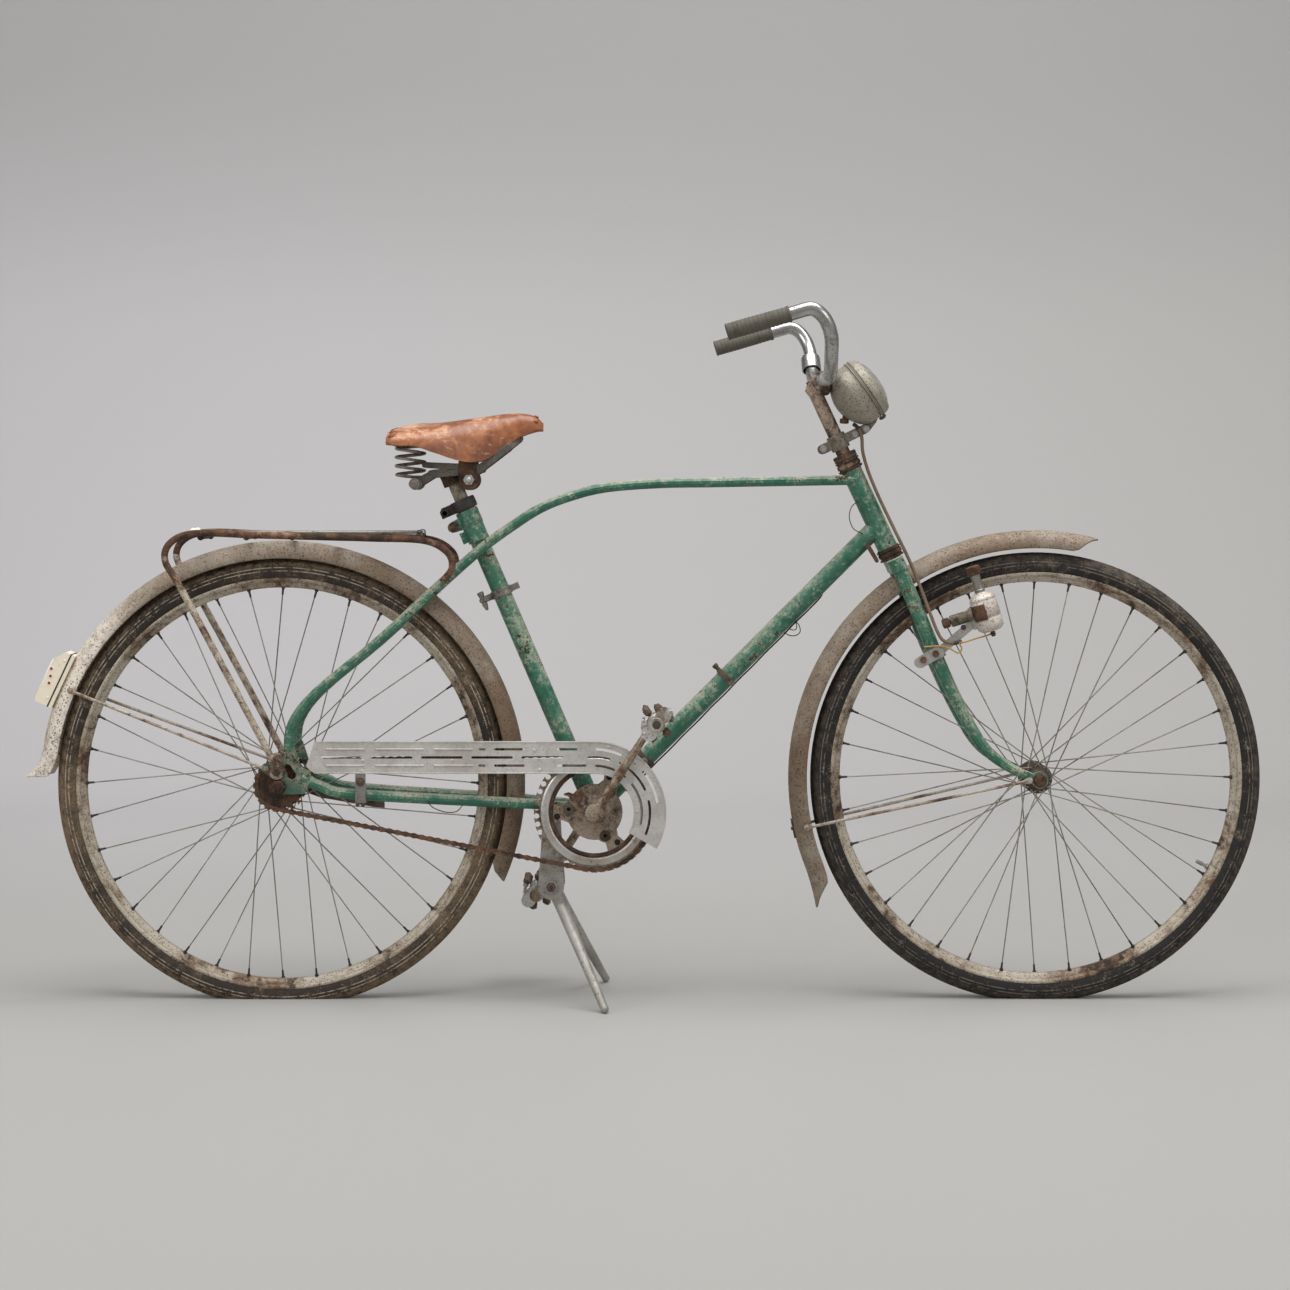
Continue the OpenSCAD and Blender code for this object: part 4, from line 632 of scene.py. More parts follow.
lensGlass = plainGrime("lamp glass", linear(205, 203, 196), linear(150, 140, 124), 0.16, 0.35, seed=8,
                       Transmission_Weight=0.75, IOR=1.48)
# near-black, lightly mottled: painted shade for flat discs set inside holes and hollows
shadowHole = plainGrime("painted hollow shade", linear(20, 17, 15), linear(36, 30, 24), 0.9, 0.4, seed=10)


# the three wall tones are painted light and shade: lighter on the left, darker on the right and high up
studio = dict(cameraBack=4.55, cameraHigh=0.792, cameraAhead=0.523, lens=81.8, sideShift=0.0194, downShift=-0.1225,
              floorTone=linear(166, 165, 162), litWallLeft=linear(203, 201, 202), shadedWallRight=linear(193, 191, 189),
              shadedWallTop=linear(184, 182, 182), farGlow=linear(142, 141, 139))


def buildStudio():
    # a floor that curves up into a wall, far enough back to be even
    n = 24
    t = np.linspace(0, np.pi / 2, n)
    y = np.concatenate([[-18.0, -4.0, 0.0, 2.0], 2.6 + 1.6 * np.sin(t), [4.2, 4.2]])
    z = np.concatenate([[0.0, 0.0, 0.0, 0.0], 1.6 - 1.6 * np.cos(t), [3.5, 9.0]])
    x = np.linspace(-18, 18, 7)
    verts = np.stack(np.broadcast_arrays(x[None, :], y[:, None], z[:, None]), -1).reshape(-1, 3)
    mesh = bpy.data.meshes.new("studio sweep")
    mesh.from_pydata(verts.tolist(), [], grid(len(y), len(x), loopCols=False).tolist())
    if mesh.polygons[0].normal.z < 0:
        mesh.flip_normals()
    mesh.shade_smooth()
    sweep = bpy.data.objects.new("studioSweep", mesh)
    bpy.context.scene.collection.objects.link(sweep)
    f = Finish("studio grey", Specular_IOR_Level=0.25)
    # the wall is painted lighter on the left and darker to the right and towards its top: painted light and shade
    wall = f.mix(f.part(f.point, 0).between(-1.8, 1.8), studio["litWallLeft"], studio["shadedWallRight"])
    wall = f.mix(f.part(f.point, 2).between(1.2, 2.1), wall, studio["shadedWallTop"])
    tone = f.mix((f.part(f.point, 1) + f.noise(0.6, 3, 0.5) * 0.6).between(0.6, 3.4), studio["floorTone"], wall)
    # far from the lamps the floor shows as pale as near them, to the camera alone
    far = (f.part(f.point, 1) * -1).orMore(f.part(f.point, 0).do("ABSOLUTE")).between(2.4, 6.8)
    seen = Val(f, f.add("ShaderNodeLightPath").outputs["Is Camera Ray"])
    f.plug("Emission Color", f.mix(far * seen, (0.0, 0.0, 0.0, 1.0), studio["farGlow"]))
    f.shader.inputs["Emission Strength"].default_value = 1.0
    mesh.materials.append(f.set(tone, 0.55))
    # from outside, the wall lets the camera see in
    behind = Val(f, f.add("ShaderNodeNewGeometry").outputs["Backfacing"]) * seen
    clear = f.add("ShaderNodeBsdfTransparent")
    mixer = f.add("ShaderNodeMixShader", {}, {0: behind, 1: f.shader.outputs[0], 2: clear.outputs[0]})
    f.tree.links.new(mixer.outputs[0], f.tree.nodes["Material Output"].inputs[0])


def softBox(name, place, target, size, watts):
    lamp = bpy.data.lights.new(name, "AREA")
    lamp.shape = "RECTANGLE"
    lamp.size, lamp.size_y = size
    lamp.energy = watts
    obj = bpy.data.objects.new(name, lamp)
    bpy.context.scene.collection.objects.link(obj)
    direction = np.asarray(target, float) - np.asarray(place, float)
    obj.location = place
    obj.rotation_euler = Vector(direction).to_track_quat("-Z", "Y").to_euler()
    return obj


def buildLights():
    world = bpy.data.worlds.new("studio air")
    bpy.context.scene.world = world
    world.use_nodes = True
    world.node_tree.nodes["Background"].inputs[0].default_value = (1.0, 0.995, 0.99, 1)
    world.node_tree.nodes["Background"].inputs[1].default_value = 0.44
    softBox("overheadLight", (0.2, -0.6, 4.2), (0, 0, 0.3), (4.2, 2.6), 190)
    softBox("leftLight", (-3.6, -3.4, 2.4), (0, 0, 0.6), (2.2, 2.6), 60)
    softBox("rightLight", (3.8, -2.8, 2.2), (0, 0, 0.6), (1.8, 2.4), 36)


def buildCamera():
    camera = bpy.data.cameras.new("camera")
    camera.lens = studio["lens"]
    camera.sensor_width = 36
    camera.shift_x, camera.shift_y = studio["sideShift"], studio["downShift"]
    camera.clip_end = 60
    obj = bpy.data.objects.new("camera", camera)
    bpy.context.scene.collection.objects.link(obj)
    obj.location = (rearAxle[0] + studio["cameraAhead"], -studio["cameraBack"], studio["cameraHigh"])
    obj.rotation_euler = (math.pi / 2, 0, 0)
    bpy.context.scene.camera = obj


buildStudio()
buildLights()
buildCamera()
bpy.context.scene.view_settings.view_transform = "Standard"
print("studio ready")


# finishes of the pieces that are shown as the frame gives them
keptFinishes = {
    tealPaint: "head_tube down_tube seat_tube bottom_bracket_shell right_twin_tube left_twin_tube "
               "right_chainstay left_chainstay stay_bridges fork_crown right_fork_blade left_fork_blade",
    tealDull: "rear_dropouts",
    steelRust: "headset_cups",
    brownRust: "rear_sprocket",
    greySteel: "frame_clips",
    pittedSteel: "chainring",
    darkSteel: "brake_arm",
    alloyGrey: "chain_guard",
    alloyRough: "stand_bracket centre_stand dynamo_bracket",
    cream: "tail_lamp",
}
for finish, names in keptFinishes.items():
    for node in names.split():
        nodes[node].data.materials.clear()
        nodes[node].data.materials.append(finish)
print("kept pieces finished")


wheel = dict(tyreHalf=20.0, sections=432, seatR=319.0, rimDeep=16.0, rimHalf=15.5, spokes=36, spokeR=1.05,
             nippleLong=13.0, nippleR=1.9, flangeY=28.0)


def tyreSurface(centre, ribs, blocks, seed):
    # radius = outer radius less the groove depth; the grooves are bands across the crown, crossed on the
    # shoulders by slanted cuts, and thin rings stand out of the side walls; no point sinks below the floor
    half = wheel["tyreHalf"]
    ringR = tyreR / mm - half
    n = wheel["sections"]
    turn = np.arange(n) * 2 * np.pi / n
    around = np.radians(np.linspace(-128, 128, 71))
    t, p = np.meshgrid(turn, around, indexing="ij")
    deg = np.degrees(np.abs(p))
    crown = np.clip((44 - deg) / 6, 0, 1)
    shoulder = np.clip((deg - 24) / 5, 0, 1) * np.clip((62 - deg) / 5, 0, 1)
    groove = crown * (0.5 + 0.5 * np.cos(p * ribs)) ** 3 * 1.3
    cut = shoulder * (np.sin(t * blocks + deg * 0.12 * np.sign(p)) > 0.45) * 1.2
    side = 0.45 * np.exp(-((deg - 76) / 2.2) ** 2) + 0.35 * np.exp(-((deg - 92) / 2.0) ** 2)
    wave = 0.5 * np.sin(3 * t + seed) + 0.35 * np.sin(7 * t + 2 * seed + p)
    r = half - 0.9 - np.maximum(groove, cut) * 0.9 + side - 0.3 * (1 + wave) * 0.6
    radial = np.maximum(ringR + r * np.cos(p), wheel["seatR"] - 1.5)
    outer = np.stack([radial * np.cos(t), r * np.sin(p), radial * np.sin(t)], -1) * mm + centre
    outer[..., 2] = np.maximum(outer[..., 2], 0.0)
    return loft(outer, loop=True)


def rimSurface(centre):
    # rolled edges at the tyre, a groove inside them, then the well that holds the nipples
    s, d, h = wheel["seatR"], wheel["rimDeep"], wheel["rimHalf"]
    half = [(s - 0.2, h - 2.6), (s, h - 1.0), (s - 0.8, h), (s - 3.2, h), (s - 5.4, h - 0.8), (s - 6.8, h - 2.6),
            (s - 7.6, h - 4.8), (s - 7.4, h - 6.6), (s - 9.4, h - 7.8), (s - d + 2.2, h - 9.6), (s - d + 0.3, h - 12)]
    outline = [(r, y) for r, y in half] + [(s - d, 0)] + [(r, -y) for r, y in reversed(half)]
    return lathe(outline, centre, (0, 1, 0), 144, loop=True)


def spokeEnds(centre, flangeR):
    # hub and rim ends of all the spokes: each leaves its flange nearly tangent and crosses three others
    n = wheel["spokes"]
    step = 720 / n
    i = np.tile(np.arange(n // 2), 2)
    side = np.repeat([-1.0, 1.0], n // 2)
    way = np.where(i % 2 == 0, 1.0, -1.0)
    hubTurn = i * step + np.where(side > 0, step / 2, 0)
    rimTurn = hubTurn + way * 3 * step
    endR = wheel["seatR"] - wheel["rimDeep"] + 1.5
    hubY = side * (wheel["flangeY"] + 1.7 + np.where(way > 0, 1.4, 0))
    hub = polar(centre, flangeR, hubTurn) + np.stack([0 * hubY, hubY * mm, 0 * hubY], 1)
    rim = polar(centre, endR, rimTurn) + np.stack([0 * side, side * 4 * mm, 0 * side], 1)
    return hub, rim, side


def buildWheel(which, centre, body, flangeR, hub, rubber, ribs, blocks, seed):
    make(which + "TyreTread", tyreSurface(centre, ribs, blocks, seed), body, rubber,
         [which + "_tyre"], angle=50)
    make(which + "RimRolled", rimSurface(centre), body, rimSteel, [which + "_rim"], angle=60)
    hubEnd, rimEnd, side = spokeEnds(centre, flangeR)
    along = unit(rimEnd - hubEnd)
    lace = rods(hubEnd, rimEnd, wheel["spokeR"], sides=6)
    heads = rods(hubEnd - np.outer(side, [0, 2.4 * mm, 0]), hubEnd + np.outer(side, [0, 1.6 * mm, 0]), 1.7, 1.5, 6)
    make(which + "SpokeLace", joined([lace, heads]), body, spokeSteel, [which + "_spokes"])
    nipples = rods(rimEnd - wheel["nippleLong"] * mm * along, rimEnd, wheel["nippleR"] * 0.8, wheel["nippleR"], 8)
    collars = rods(rimEnd - 3.4 * mm * along, rimEnd, wheel["nippleR"] + 0.9, wheel["nippleR"] + 1.3, 8)
    make(which + "Nipples", joined([nipples, collars]), body, wireBlack)
    make(which + "HubShell", hub, body, darkSteel, [which + "_hub"], angle=35)


def frontHubShell():
    # thin barrel that swells to two flanges, with a cone and dust cap at each end
    half = [(6.0, 37), (10.5, 37), (11.5, 35), (11.5, 32), (14, 30.6), (22.4, 29.4), (23, 28.4), (22.6, 26.6),
            (15, 25.4), (11.5, 23), (9.6, 18), (8.8, 8), (8.8, 0)]
    outline = half + [(r, -h) for r, h in reversed(half[:-1])]
    return lathe([(4.9, 37)] + outline + [(4.9, -37)], frontAxle, (0, 1, 0), 48, loop=True)


def rearHubShell():
    # wide coaster drum between two flanges, its left end longer
    outline = [(5.1, 46), (14, 46), (18, 44.4), (20.5, 41), (22, 40), (22, 32), (25, 30.4), (35.2, 29.6), (36, 28.6),
               (35.4, 26), (26, 24.6), (22.6, 22), (21.4, 10), (21.4, -10), (22.6, -22), (26, -24.6), (35.4, -26),
               (36, -28.6), (35.2, -29.2), (22, -30), (5.1, -30)]
    return lathe(outline, rearAxle, (0, 1, 0), 48, loop=True)


buildWheel("front", frontAxle, "front_wheel", 20, frontHubShell(), frontRubber, 15, 132, 0.7)
buildWheel("rear", rearAxle, "rear_wheel", 33, rearHubShell(), rearRubber, 11, 108, 2.1)
valveFoot = polar(frontAxle, wheel["seatR"] - wheel["rimDeep"] + 1, -27.5)
valveWay = unit(frontAxle - valveFoot)
valve = joined([rods(valveFoot, valveFoot + 21 * mm * valveWay, 2.6, 2.4, 12),
                hexNut(valveFoot + 2 * mm * valveWay, valveWay, 9, 3),
                lathe([(3, 0), (3.2, 1), (3.2, 9), (2, 11)], valveFoot + 11 * mm * valveWay, valveWay, 16)])
make("frontValve", valve, "front_wheel", greySteel)


def axleEnds(name, centre, body, node, inner, nutFlat, nutHigh, reach, rodR):
    # threaded rod with a washer, a nut and thread ridges at both ends
    parts = [rods(centre - np.array([0, reach * mm, 0]), centre + np.array([0, reach * mm, 0]), rodR - 0.5, sides=12)]
    for way in (-1, 1):
        out = np.array([0.0, way, 0])
        place = centre + out * inner * mm
        parts += [ringNut(place, out, nutFlat * 0.66, rodR - 0.5, 1.6),
                  hexNut(place + out * 1.6 * mm, out, nutFlat, nutHigh)]
        ridge = np.arange(inner + nutHigh + 2.2, reach - 0.4, 1.3)
        parts += [ringNut(centre + out * y * mm, out, rodR, rodR - 0.8, 0.7, 12) for y in ridge]
    make(name, joined(parts), body, brownRust, [node], angle=30)


axleEnds("frontAxleNuts", frontAxle, "steering", "front_axle", 58.4, 16, 8, 68.8, 4.7)
axleEnds("rearAxleNuts", rearAxle, "frame", "rear_axle", 65.8, 18.5, 10, 79.8, 4.9)
rearCones = [ringNut(offset(rearAxle, 0, low, 0), leftWay, 9, 4.4, high - low)
             for low, high in ((-55.8, -47.6), (52, 55.8))]
frontCones = [ringNut(offset(frontAxle, 0, low, 0), leftWay, 7.5, 4.2, 12) for low in (-49.8, 37.6)]
make("rearAxleCones", joined(rearCones), "frame", darkSteel)
make("frontAxleCones", joined(frontCones), "steering", darkSteel)
print("wheels ready")


fender = dict(round=26.0, sheet=1.4, bead=1.7, midRear=350.0, midFront=357.0, flare=70.0, flareFrom=171.5,
              flareTurn=43.0, point=30.0, rearStart=-24.0, rearPoint=14.0, frontStart=75.2, frontEnd=210.8,
              liftFrom=201.0, lift=13.0)


def fenderSection(half):
    # closed outline (across, out) of a half-round sheet reaching half degrees each side, its edges rolled
    r, sheet, bead = fender["round"], fender["sheet"], fender["bead"]
    a = np.radians(np.linspace(-half, half, 25))
    outer = np.stack([r * np.sin(a), r * np.cos(a)], 1)
    inner = np.stack([(r - sheet) * np.sin(a[::-1]), (r - sheet) * np.cos(a[::-1])], 1)
    turn = np.radians(np.linspace(0, 180, 6))[1:-1]
    reach = np.radians(half)

    def roll(side):
        mid = np.array([side * (r - bead) * np.sin(reach), (r - bead) * np.cos(reach)])
        out = np.array([side * np.sin(reach), np.cos(reach)])
        down = np.array([side * np.cos(reach), -np.sin(reach)])
        return mid + bead * (np.cos(turn)[:, None] * out + np.sin(turn)[:, None] * down)

    return np.vstack([outer, roll(1), inner, roll(-1)[::-1]])


def fenderSurface(mids, outs, startPoint, endPoint):
    # the section carried along the middle line, its reach shrinking evenly towards a pointed end
    mids, outs = np.asarray(mids, float), unit(outs)
    run = np.concatenate([[0], np.cumsum(np.linalg.norm(np.diff(mids, axis=0), axis=1))]) / mm
    reach = np.minimum(90.0, 8 + 82 * np.clip(run / startPoint, 0, 1))
    reach = np.minimum(reach, 8 + 82 * np.clip((run[-1] - run) / endPoint, 0, 1))
    rings = np.stack([fenderSection(half) for half in reach]) * mm
    return loft(mids[:, None] + rings[..., :1] * leftWay + rings[..., 1:] * outs[:, None])


def rearFenderLine():
    # the wheel's circle, then an arc that bends the tail away from the tyre
    a = np.linspace(fender["rearStart"], fender["flareFrom"], 110)
    mids = polar(rearAxle, fender["midRear"], a)
    outs = polar(origin, 1000, a)
    flareR = fender["flare"] + fender["round"]
    centre = polar(rearAxle, fender["midRear"] + fender["round"] + fender["flare"], fender["flareFrom"])
    b = fender["flareFrom"] + 180 - np.linspace(0, fender["flareTurn"], 22)[1:]
    return np.vstack([mids, polar(centre, flareR, b)]), np.vstack([outs, -polar(origin, 1000, b)])


def frontFenderLine():
    # the wheel's circle, its lower end lifted off the tyre by the square of the way past liftFrom
    a = np.linspace(fender["frontStart"], fender["frontEnd"], 96)
    lift = fender["lift"] * (np.clip(a - fender["liftFrom"], 0, None) / 10) ** 2
    return polar(frontAxle, fender["midFront"] + lift, a), polar(origin, 1000, a)


make("rearFenderSkin", fenderSurface(*rearFenderLine(), fender["rearPoint"], fender["point"]), "frame",
     rearFenderSteel, ["rear_fender"], angle=50)
make("frontFenderSkin", fenderSurface(*frontFenderLine(), fender["point"], fender["point"]), "steering",
     frontFenderSteel, ["front_fender"], angle=50)

stay = dict(r=2.4, flat=5.0, inset=28.6, rearFoot=(-18, 66.4, 27), rearTip=156.0, frontFoot=(-16, 59.6, 0),
            frontTip=192.0, clipTurn=192.0)


def flatEndRod(start, end, r, flat):
    # a round rod whose ends are hammered flat round their bolts
    start, end = np.asarray(start, float), np.asarray(end, float)
    way = unit(end - start)
    a = np.arange(12) * np.pi / 6
    circle = np.stack([np.cos(a), np.sin(a)], 1)
    length = np.linalg.norm(end - start) / mm
    along = np.array([-flat, -flat * 0.7, 0, flat * 0.9, flat * 2.2, length - flat * 2.2, length - flat * 0.9, length,
                      length + flat * 0.7, length + flat])
    wide = np.array([0.3, 1.5, 2.1, 1.7, 1, 1, 1.7, 2.1, 1.5, 0.3]) * r
    thick = np.array([0.25, 0.4, 0.4, 0.5, 1, 1, 0.5, 0.4, 0.4, 0.25]) * r
    side = unit(np.cross(way, leftWay))
    face = np.cross(side, way)
    rings = (start + along[:, None] * mm * way)[:, None] + (
        circle[None, :, :1] * wide[:, None, None] * side + circle[None, :, 1:] * thick[:, None, None] * face) * mm
    return loft(rings)


def stayPair(axle, foot, tipTurn, midR):
    # one stay each side, from its bolt by the axle to a bolt on the fender's side
    parts = []
    for side in (-1, 1):
        start = offset(axle, foot[0], side * foot[1], foot[2])
        end = polar(axle, midR + 6, tipTurn, side * stay["inset"])
        parts += [flatEndRod(start, end, stay["r"], stay["flat"]),
                  domed(offset(start, 0, side * 1.2, 0), (0, side, 0), 4.6, 3.2),
                  domed(offset(end, 0, side * 1.0, 0), (0, side, 0), 4.0, 2.6)]
    return joined(parts)


def frontClip():
    # the strap and bolt that hold the front stays under the fender
    turn, out = stay["clipTurn"], fender["midFront"] + 27
    plate = strap(polar(frontAxle, out, turn - 1.6), polar(frontAxle, out, turn + 1.6), 5, 5, 2,
                  out=-polar(origin, 1, turn))
    bolt = lathe([(4, 0), (4, 4), (2.5, 5), (2.5, 8)], polar(frontAxle, fender["midFront"] + 22, turn),
                 polar(origin, 1, turn), 12)
    return joined([plate, bolt])


make("rearStayRods", stayPair(rearAxle, stay["rearFoot"], stay["rearTip"], fender["midRear"]), "frame", stayWire,
     ["rear_fender_stays"])
make("frontStayRods", stayPair(frontAxle, stay["frontFoot"], stay["frontTip"], fender["midFront"]), "steering",
     stayWire, ["front_fender_stays"])
make("frontFenderClip", frontClip(), "steering", darkSteel)

carrier = dict(r=5.3, top=716.0, half=60.0, deckR=3.6, bars=(-120, -50, 20, 90, 160, 214))


def carrierLine(side):
    # up from the rear dropout, round the back corner, level along the top and down to the seat stay
    y, top = side * carrier["half"], carrier["top"]
    points = [at(-2, side * 67.8, 363), at(-90, side * 67.8, 528), at(-150, side * 63, top - 78),
              at(-174, y, top - 36), at(-164, y, top - 8), at(-126, y, top + 5), at(-40, y, top + 2.5),
              at(50, y, top), at(140, y, top - 2.5), at(222, y, top - 6), at(258, side * 54, top - 24),
              at(265, side * 48, top - 48), at(250, side * 45, top - 70)]
    return smoothPath(points, 10)


def buildCarrier():
    for side, name in ((-1, "right"), (1, "left")):
        line = carrierLine(side)
        # the legs are paler than the rails; they part 30 mm below the top
        cut = int(np.argmin(np.abs(line[:50, 2] - (carrier["top"] - 30) * mm)))
        eye = strap(line[0] + np.array([0, 0, -0.008]), line[0] + np.array([0, 0, 0.016]), 11, 7, 3.2, bevel=0.5)
        make(name + "CarrierLeg", joined([tube(line[:cut + 2], carrier["r"], 16), eye]), "frame", carrierLegs,
             [name + "_carrier_tube"])
        make(name + "CarrierRail", tube(line[cut:], carrier["r"] + 0.1, 16), "frame", carrierRails,
             [name + "_carrier_tube"])
        make(name + "CarrierBolt", hexNut(at(-2, side * 64, 355), (0, side, 0), 11, 6), "frame", darkSteel)
    middles = np.array([at(x, 0, carrier["top"] - 1) for x in carrier["bars"]])
    half = np.array([0, (carrier["half"] - 4) * mm, 0])
    welds = [ringNut(mid + side * (half - np.array([0, 3 * mm, 0])), (0, side, 0), 5.2, 3, 3.4, 12)
             for mid in middles for side in (-1, 1)]
    crossbars = rods(middles - half, middles + half, carrier["deckR"], sides=12)
    make("carrierCrossbars", joined([crossbars] + welds), "frame", carrierRails, ["carrier_deck"])


springClip = dict(high=carrier["top"] + 5.9, side=22.0, hinge=214.0, cross=-66.0, tip=-134.0, wire=2.4, ball=6.0,
                  coilR=4.6, turns=9, pitch=1.3)


def clipCoil(side):
    # a tight helix round the hinge, outside its arm
    a = np.linspace(0, 2 * np.pi * springClip["turns"], springClip["turns"] * 14)
    out = side * (28 + springClip["pitch"] * a / (2 * np.pi))
    line = [at(*p) for p in np.stack([springClip["hinge"] + springClip["coilR"] * np.cos(a), out,
                                      springClip["high"] + springClip["coilR"] * np.sin(a) - 1], 1)]
    return tube(np.array(line), 0.8, 6, ref=(1, 0, 0.3))


def buildSpringClip():
    high, hinge, cross, tip = (springClip[key] for key in ("high", "hinge", "cross", "tip"))
    wires = []
    for side in (-1, 1):
        y = side * springClip["side"]
        arm = smoothPath([at(hinge, y, high), at(120, y, high), at(cross, y, high)], 4)
        hook = smoothPath([at(cross, y, high), at(-100, y, high - 0.5), at(-122, y, high + 0.4),
                           at(tip, y, high + 1)], 6)
        wires += [tube(arm, springClip["wire"], 10), tube(hook, 2.2, 10)]
    wires += [rods(at(x, -23, high), at(x, 23, high), 2.3, sides=10) for x in (hinge, cross)]
    wires += [clipCoil(side) for side in (-1, 1)]
    make("carrierClipWire", joined(wires), "frame", greySteel, ["carrier_clip"])
    a = np.radians(np.linspace(4, 176, 12))
    half = np.stack([springClip["ball"] * np.sin(a), -springClip["ball"] * np.cos(a)], 1)
    balls = [lathe(half, at(tip - 2, side * springClip["side"], high + 1), (1, 0, 0), 18) for side in (-1, 1)]
    make("carrierClipBalls", joined(balls), "frame", cream)


buildCarrier()
buildSpringClip()
print("fenders and carrier ready")


drive = dict(ringTeeth=44, cogTeeth=18, pitch=12.7, line=-43.0)
ringR = drive["pitch"] / 2 / math.sin(math.pi / drive["ringTeeth"])
cogR = drive["pitch"] / 2 / math.sin(math.pi / drive["cogTeeth"])
link = dict(endR=4.1, waist=2.6, inner=1.62, outer=2.62, thick=0.8, pinR=1.7, rollerR=3.8, pinHalf=3.0)


def chainPins():
    # evenly spaced places on the belt line: two tangents and the two arcs that they leave and meet
    toRing = crankCentre - rearAxle
    span = math.hypot(toRing[0], toRing[2]) / mm
    tilt = math.degrees(math.atan2(toRing[2], toRing[0]))
    cone = math.degrees(math.asin((ringR - cogR) / span))
    straight = span * math.cos(math.radians(cone))
    cogArc, ringArc = math.radians(180 - 2 * cone) * cogR, math.radians(180 + 2 * cone) * ringR
    lengths = np.array([straight, ringArc, straight, cogArc])
    count = 2 * round(lengths.sum() / drive["pitch"] / 2)
    s = (np.arange(count) + 0.5) * lengths.sum() / count
    edges = np.concatenate([[0], np.cumsum(lengths)])
    up, low = tilt + 90 + cone, tilt - 90 - cone
    upA, upB = polar(rearAxle, cogR, up), polar(crankCentre, ringR, up)
    lowA, lowB = polar(rearAxle, cogR, low), polar(crankCentre, ringR, low)
    stretch = np.searchsorted(edges, s) - 1
    t = (s - edges[stretch]) / lengths[stretch]
    ringTurn = up - t * (180 + 2 * cone)
    cogTurn = low - t * (180 - 2 * cone)
    places = np.select([stretch[:, None] == k for k in range(4)],
                       [upA + t[:, None] * (upB - upA), polar(crankCentre, ringR, ringTurn),
                        lowB + t[:, None] * (lowA - lowB), polar(rearAxle, cogR, cogTurn)])
    places[:, 1] = drive["line"] * mm
    return places


def linkOutline():
    # two round ends joined by a waist
    a = np.radians(np.linspace(60, 300, 7))
    r, waist = link["endR"], link["waist"]
    left = np.stack([-drive["pitch"] / 2 + r * np.cos(a), r * np.sin(a)], 1)
    return np.vstack([[[0, waist]], left, [[0, -waist]], -left])


def buildChain():
    pins = chainPins()
    ahead = np.roll(pins, -1, 0)
    mids = (pins + ahead) / 2
    turns = turnY(np.degrees(np.arctan2(ahead[:, 2] - pins[:, 2], ahead[:, 0] - pins[:, 0])))
    plates = []
    for y, odd in ((link["inner"], 0), (-link["inner"], 0), (link["outer"], 1), (-link["outer"], 1)):
        plate = slab(linkOutline(), (0, y * mm, 0), (1, 0, 0), upright, link["thick"], 0.15)
        plates.append(repeated(plate, turns[odd::2], mids[odd::2]))
    half = np.array([0, link["pinHalf"] * mm, 0])
    plates.append(rods(pins - half, pins + half, link["pinR"], sides=8))
    plates.append(rods(pins - half * 0.4, pins + half * 0.4, link["rollerR"], sides=12))
    make("chainLinks", joined(plates), "frame", chainRust, ["chain"], angle=30)


chainring = dict(out=-1.4, brightR=76.8, brightHalf=6.8, brightHigh=3.6, innerR=67.4, innerHalf=3.6, innerHigh=2.0,
                 arms=(182, 302, 62), hookTurn=146)


def buildChainring():
    # a raised bright band inside the teeth, a rolled inner edge, and the spider's washers and boss, with dark discs of
    # painted shade in its holes
    face = crankCentre + np.array([0, (drive["line"] + chainring["out"]) * mm, 0])
    a = np.radians(np.linspace(0, 180, 13))
    crown = np.stack([chainring["brightR"] + chainring["brightHalf"] * np.cos(a),
                      chainring["brightHigh"] * np.sin(a) ** 0.8], 1)
    bright = lathe(np.vstack([crown, [[70.0, -0.4]], [[83.6, -0.4]]]), face, rightWay, 132, loop=True)
    make("ringBright", bright, "crank", polishedRing)
    a = np.radians(np.linspace(0, 180, 9))
    crown = np.stack([chainring["innerR"] + chainring["innerHalf"] * np.cos(a), chainring["innerHigh"] * np.sin(a)], 1)
    edge = lathe(np.vstack([crown, [[63.8, -2.9]], [[71.0, -2.9]]]), face, rightWay, 120, loop=True)
    make("ringInnerEdge", edge, "crank", brownRust)
    washers, holeShades = [], []
    for turn in chainring["arms"]:
        place = polar(face, 40, turn - 8)
        washers += [ringNut(place, rightWay, 8.6, 4.2, 2.6, 20), ringNut(place, rightWay, 6.0, 3.2, 3.4, 20)]
        # near-black discs in the bolt holes and the ring's holes: painted shade where the holes would show through
        holeShades.append(lathe([(3.3, 0), (3.3, 0.6)], place, rightWay, 14))
        holeShades.append(lathe([(4.9, -0.2), (4.9, 0.3)], polar(face, 58.2, turn + 5), rightWay, 16))
    turn = chainring["hookTurn"]
    hook = slab([(0, -5), (9, -3), (14, 3), (12, 5), (6, 3), (0, 5)], polar(face, 41, turn), polar(origin, 1, turn),
                polar(origin, 1, turn + 90), 2.4, 0.3)
    dome = lathe([(26, 0), (24.4, 1.4), (20, 2.0), (17, 3.4), (15.5, 4)], face, rightWay, 48)
    make("spiderBolts", joined(washers), "crank", darkSteel)
    make("spiderBoss", joined([hook, dome]), "crank", pittedSteel)
    make("spiderHoleShades", joined(holeShades), "crank", shadowHole)


crank = dict(long=172.0, y=63.5, bossOut=5.2, wide=7.8, narrow=2.6, thick=5.5, thin=0.9, pinR=4.9, cotterR=3.6)


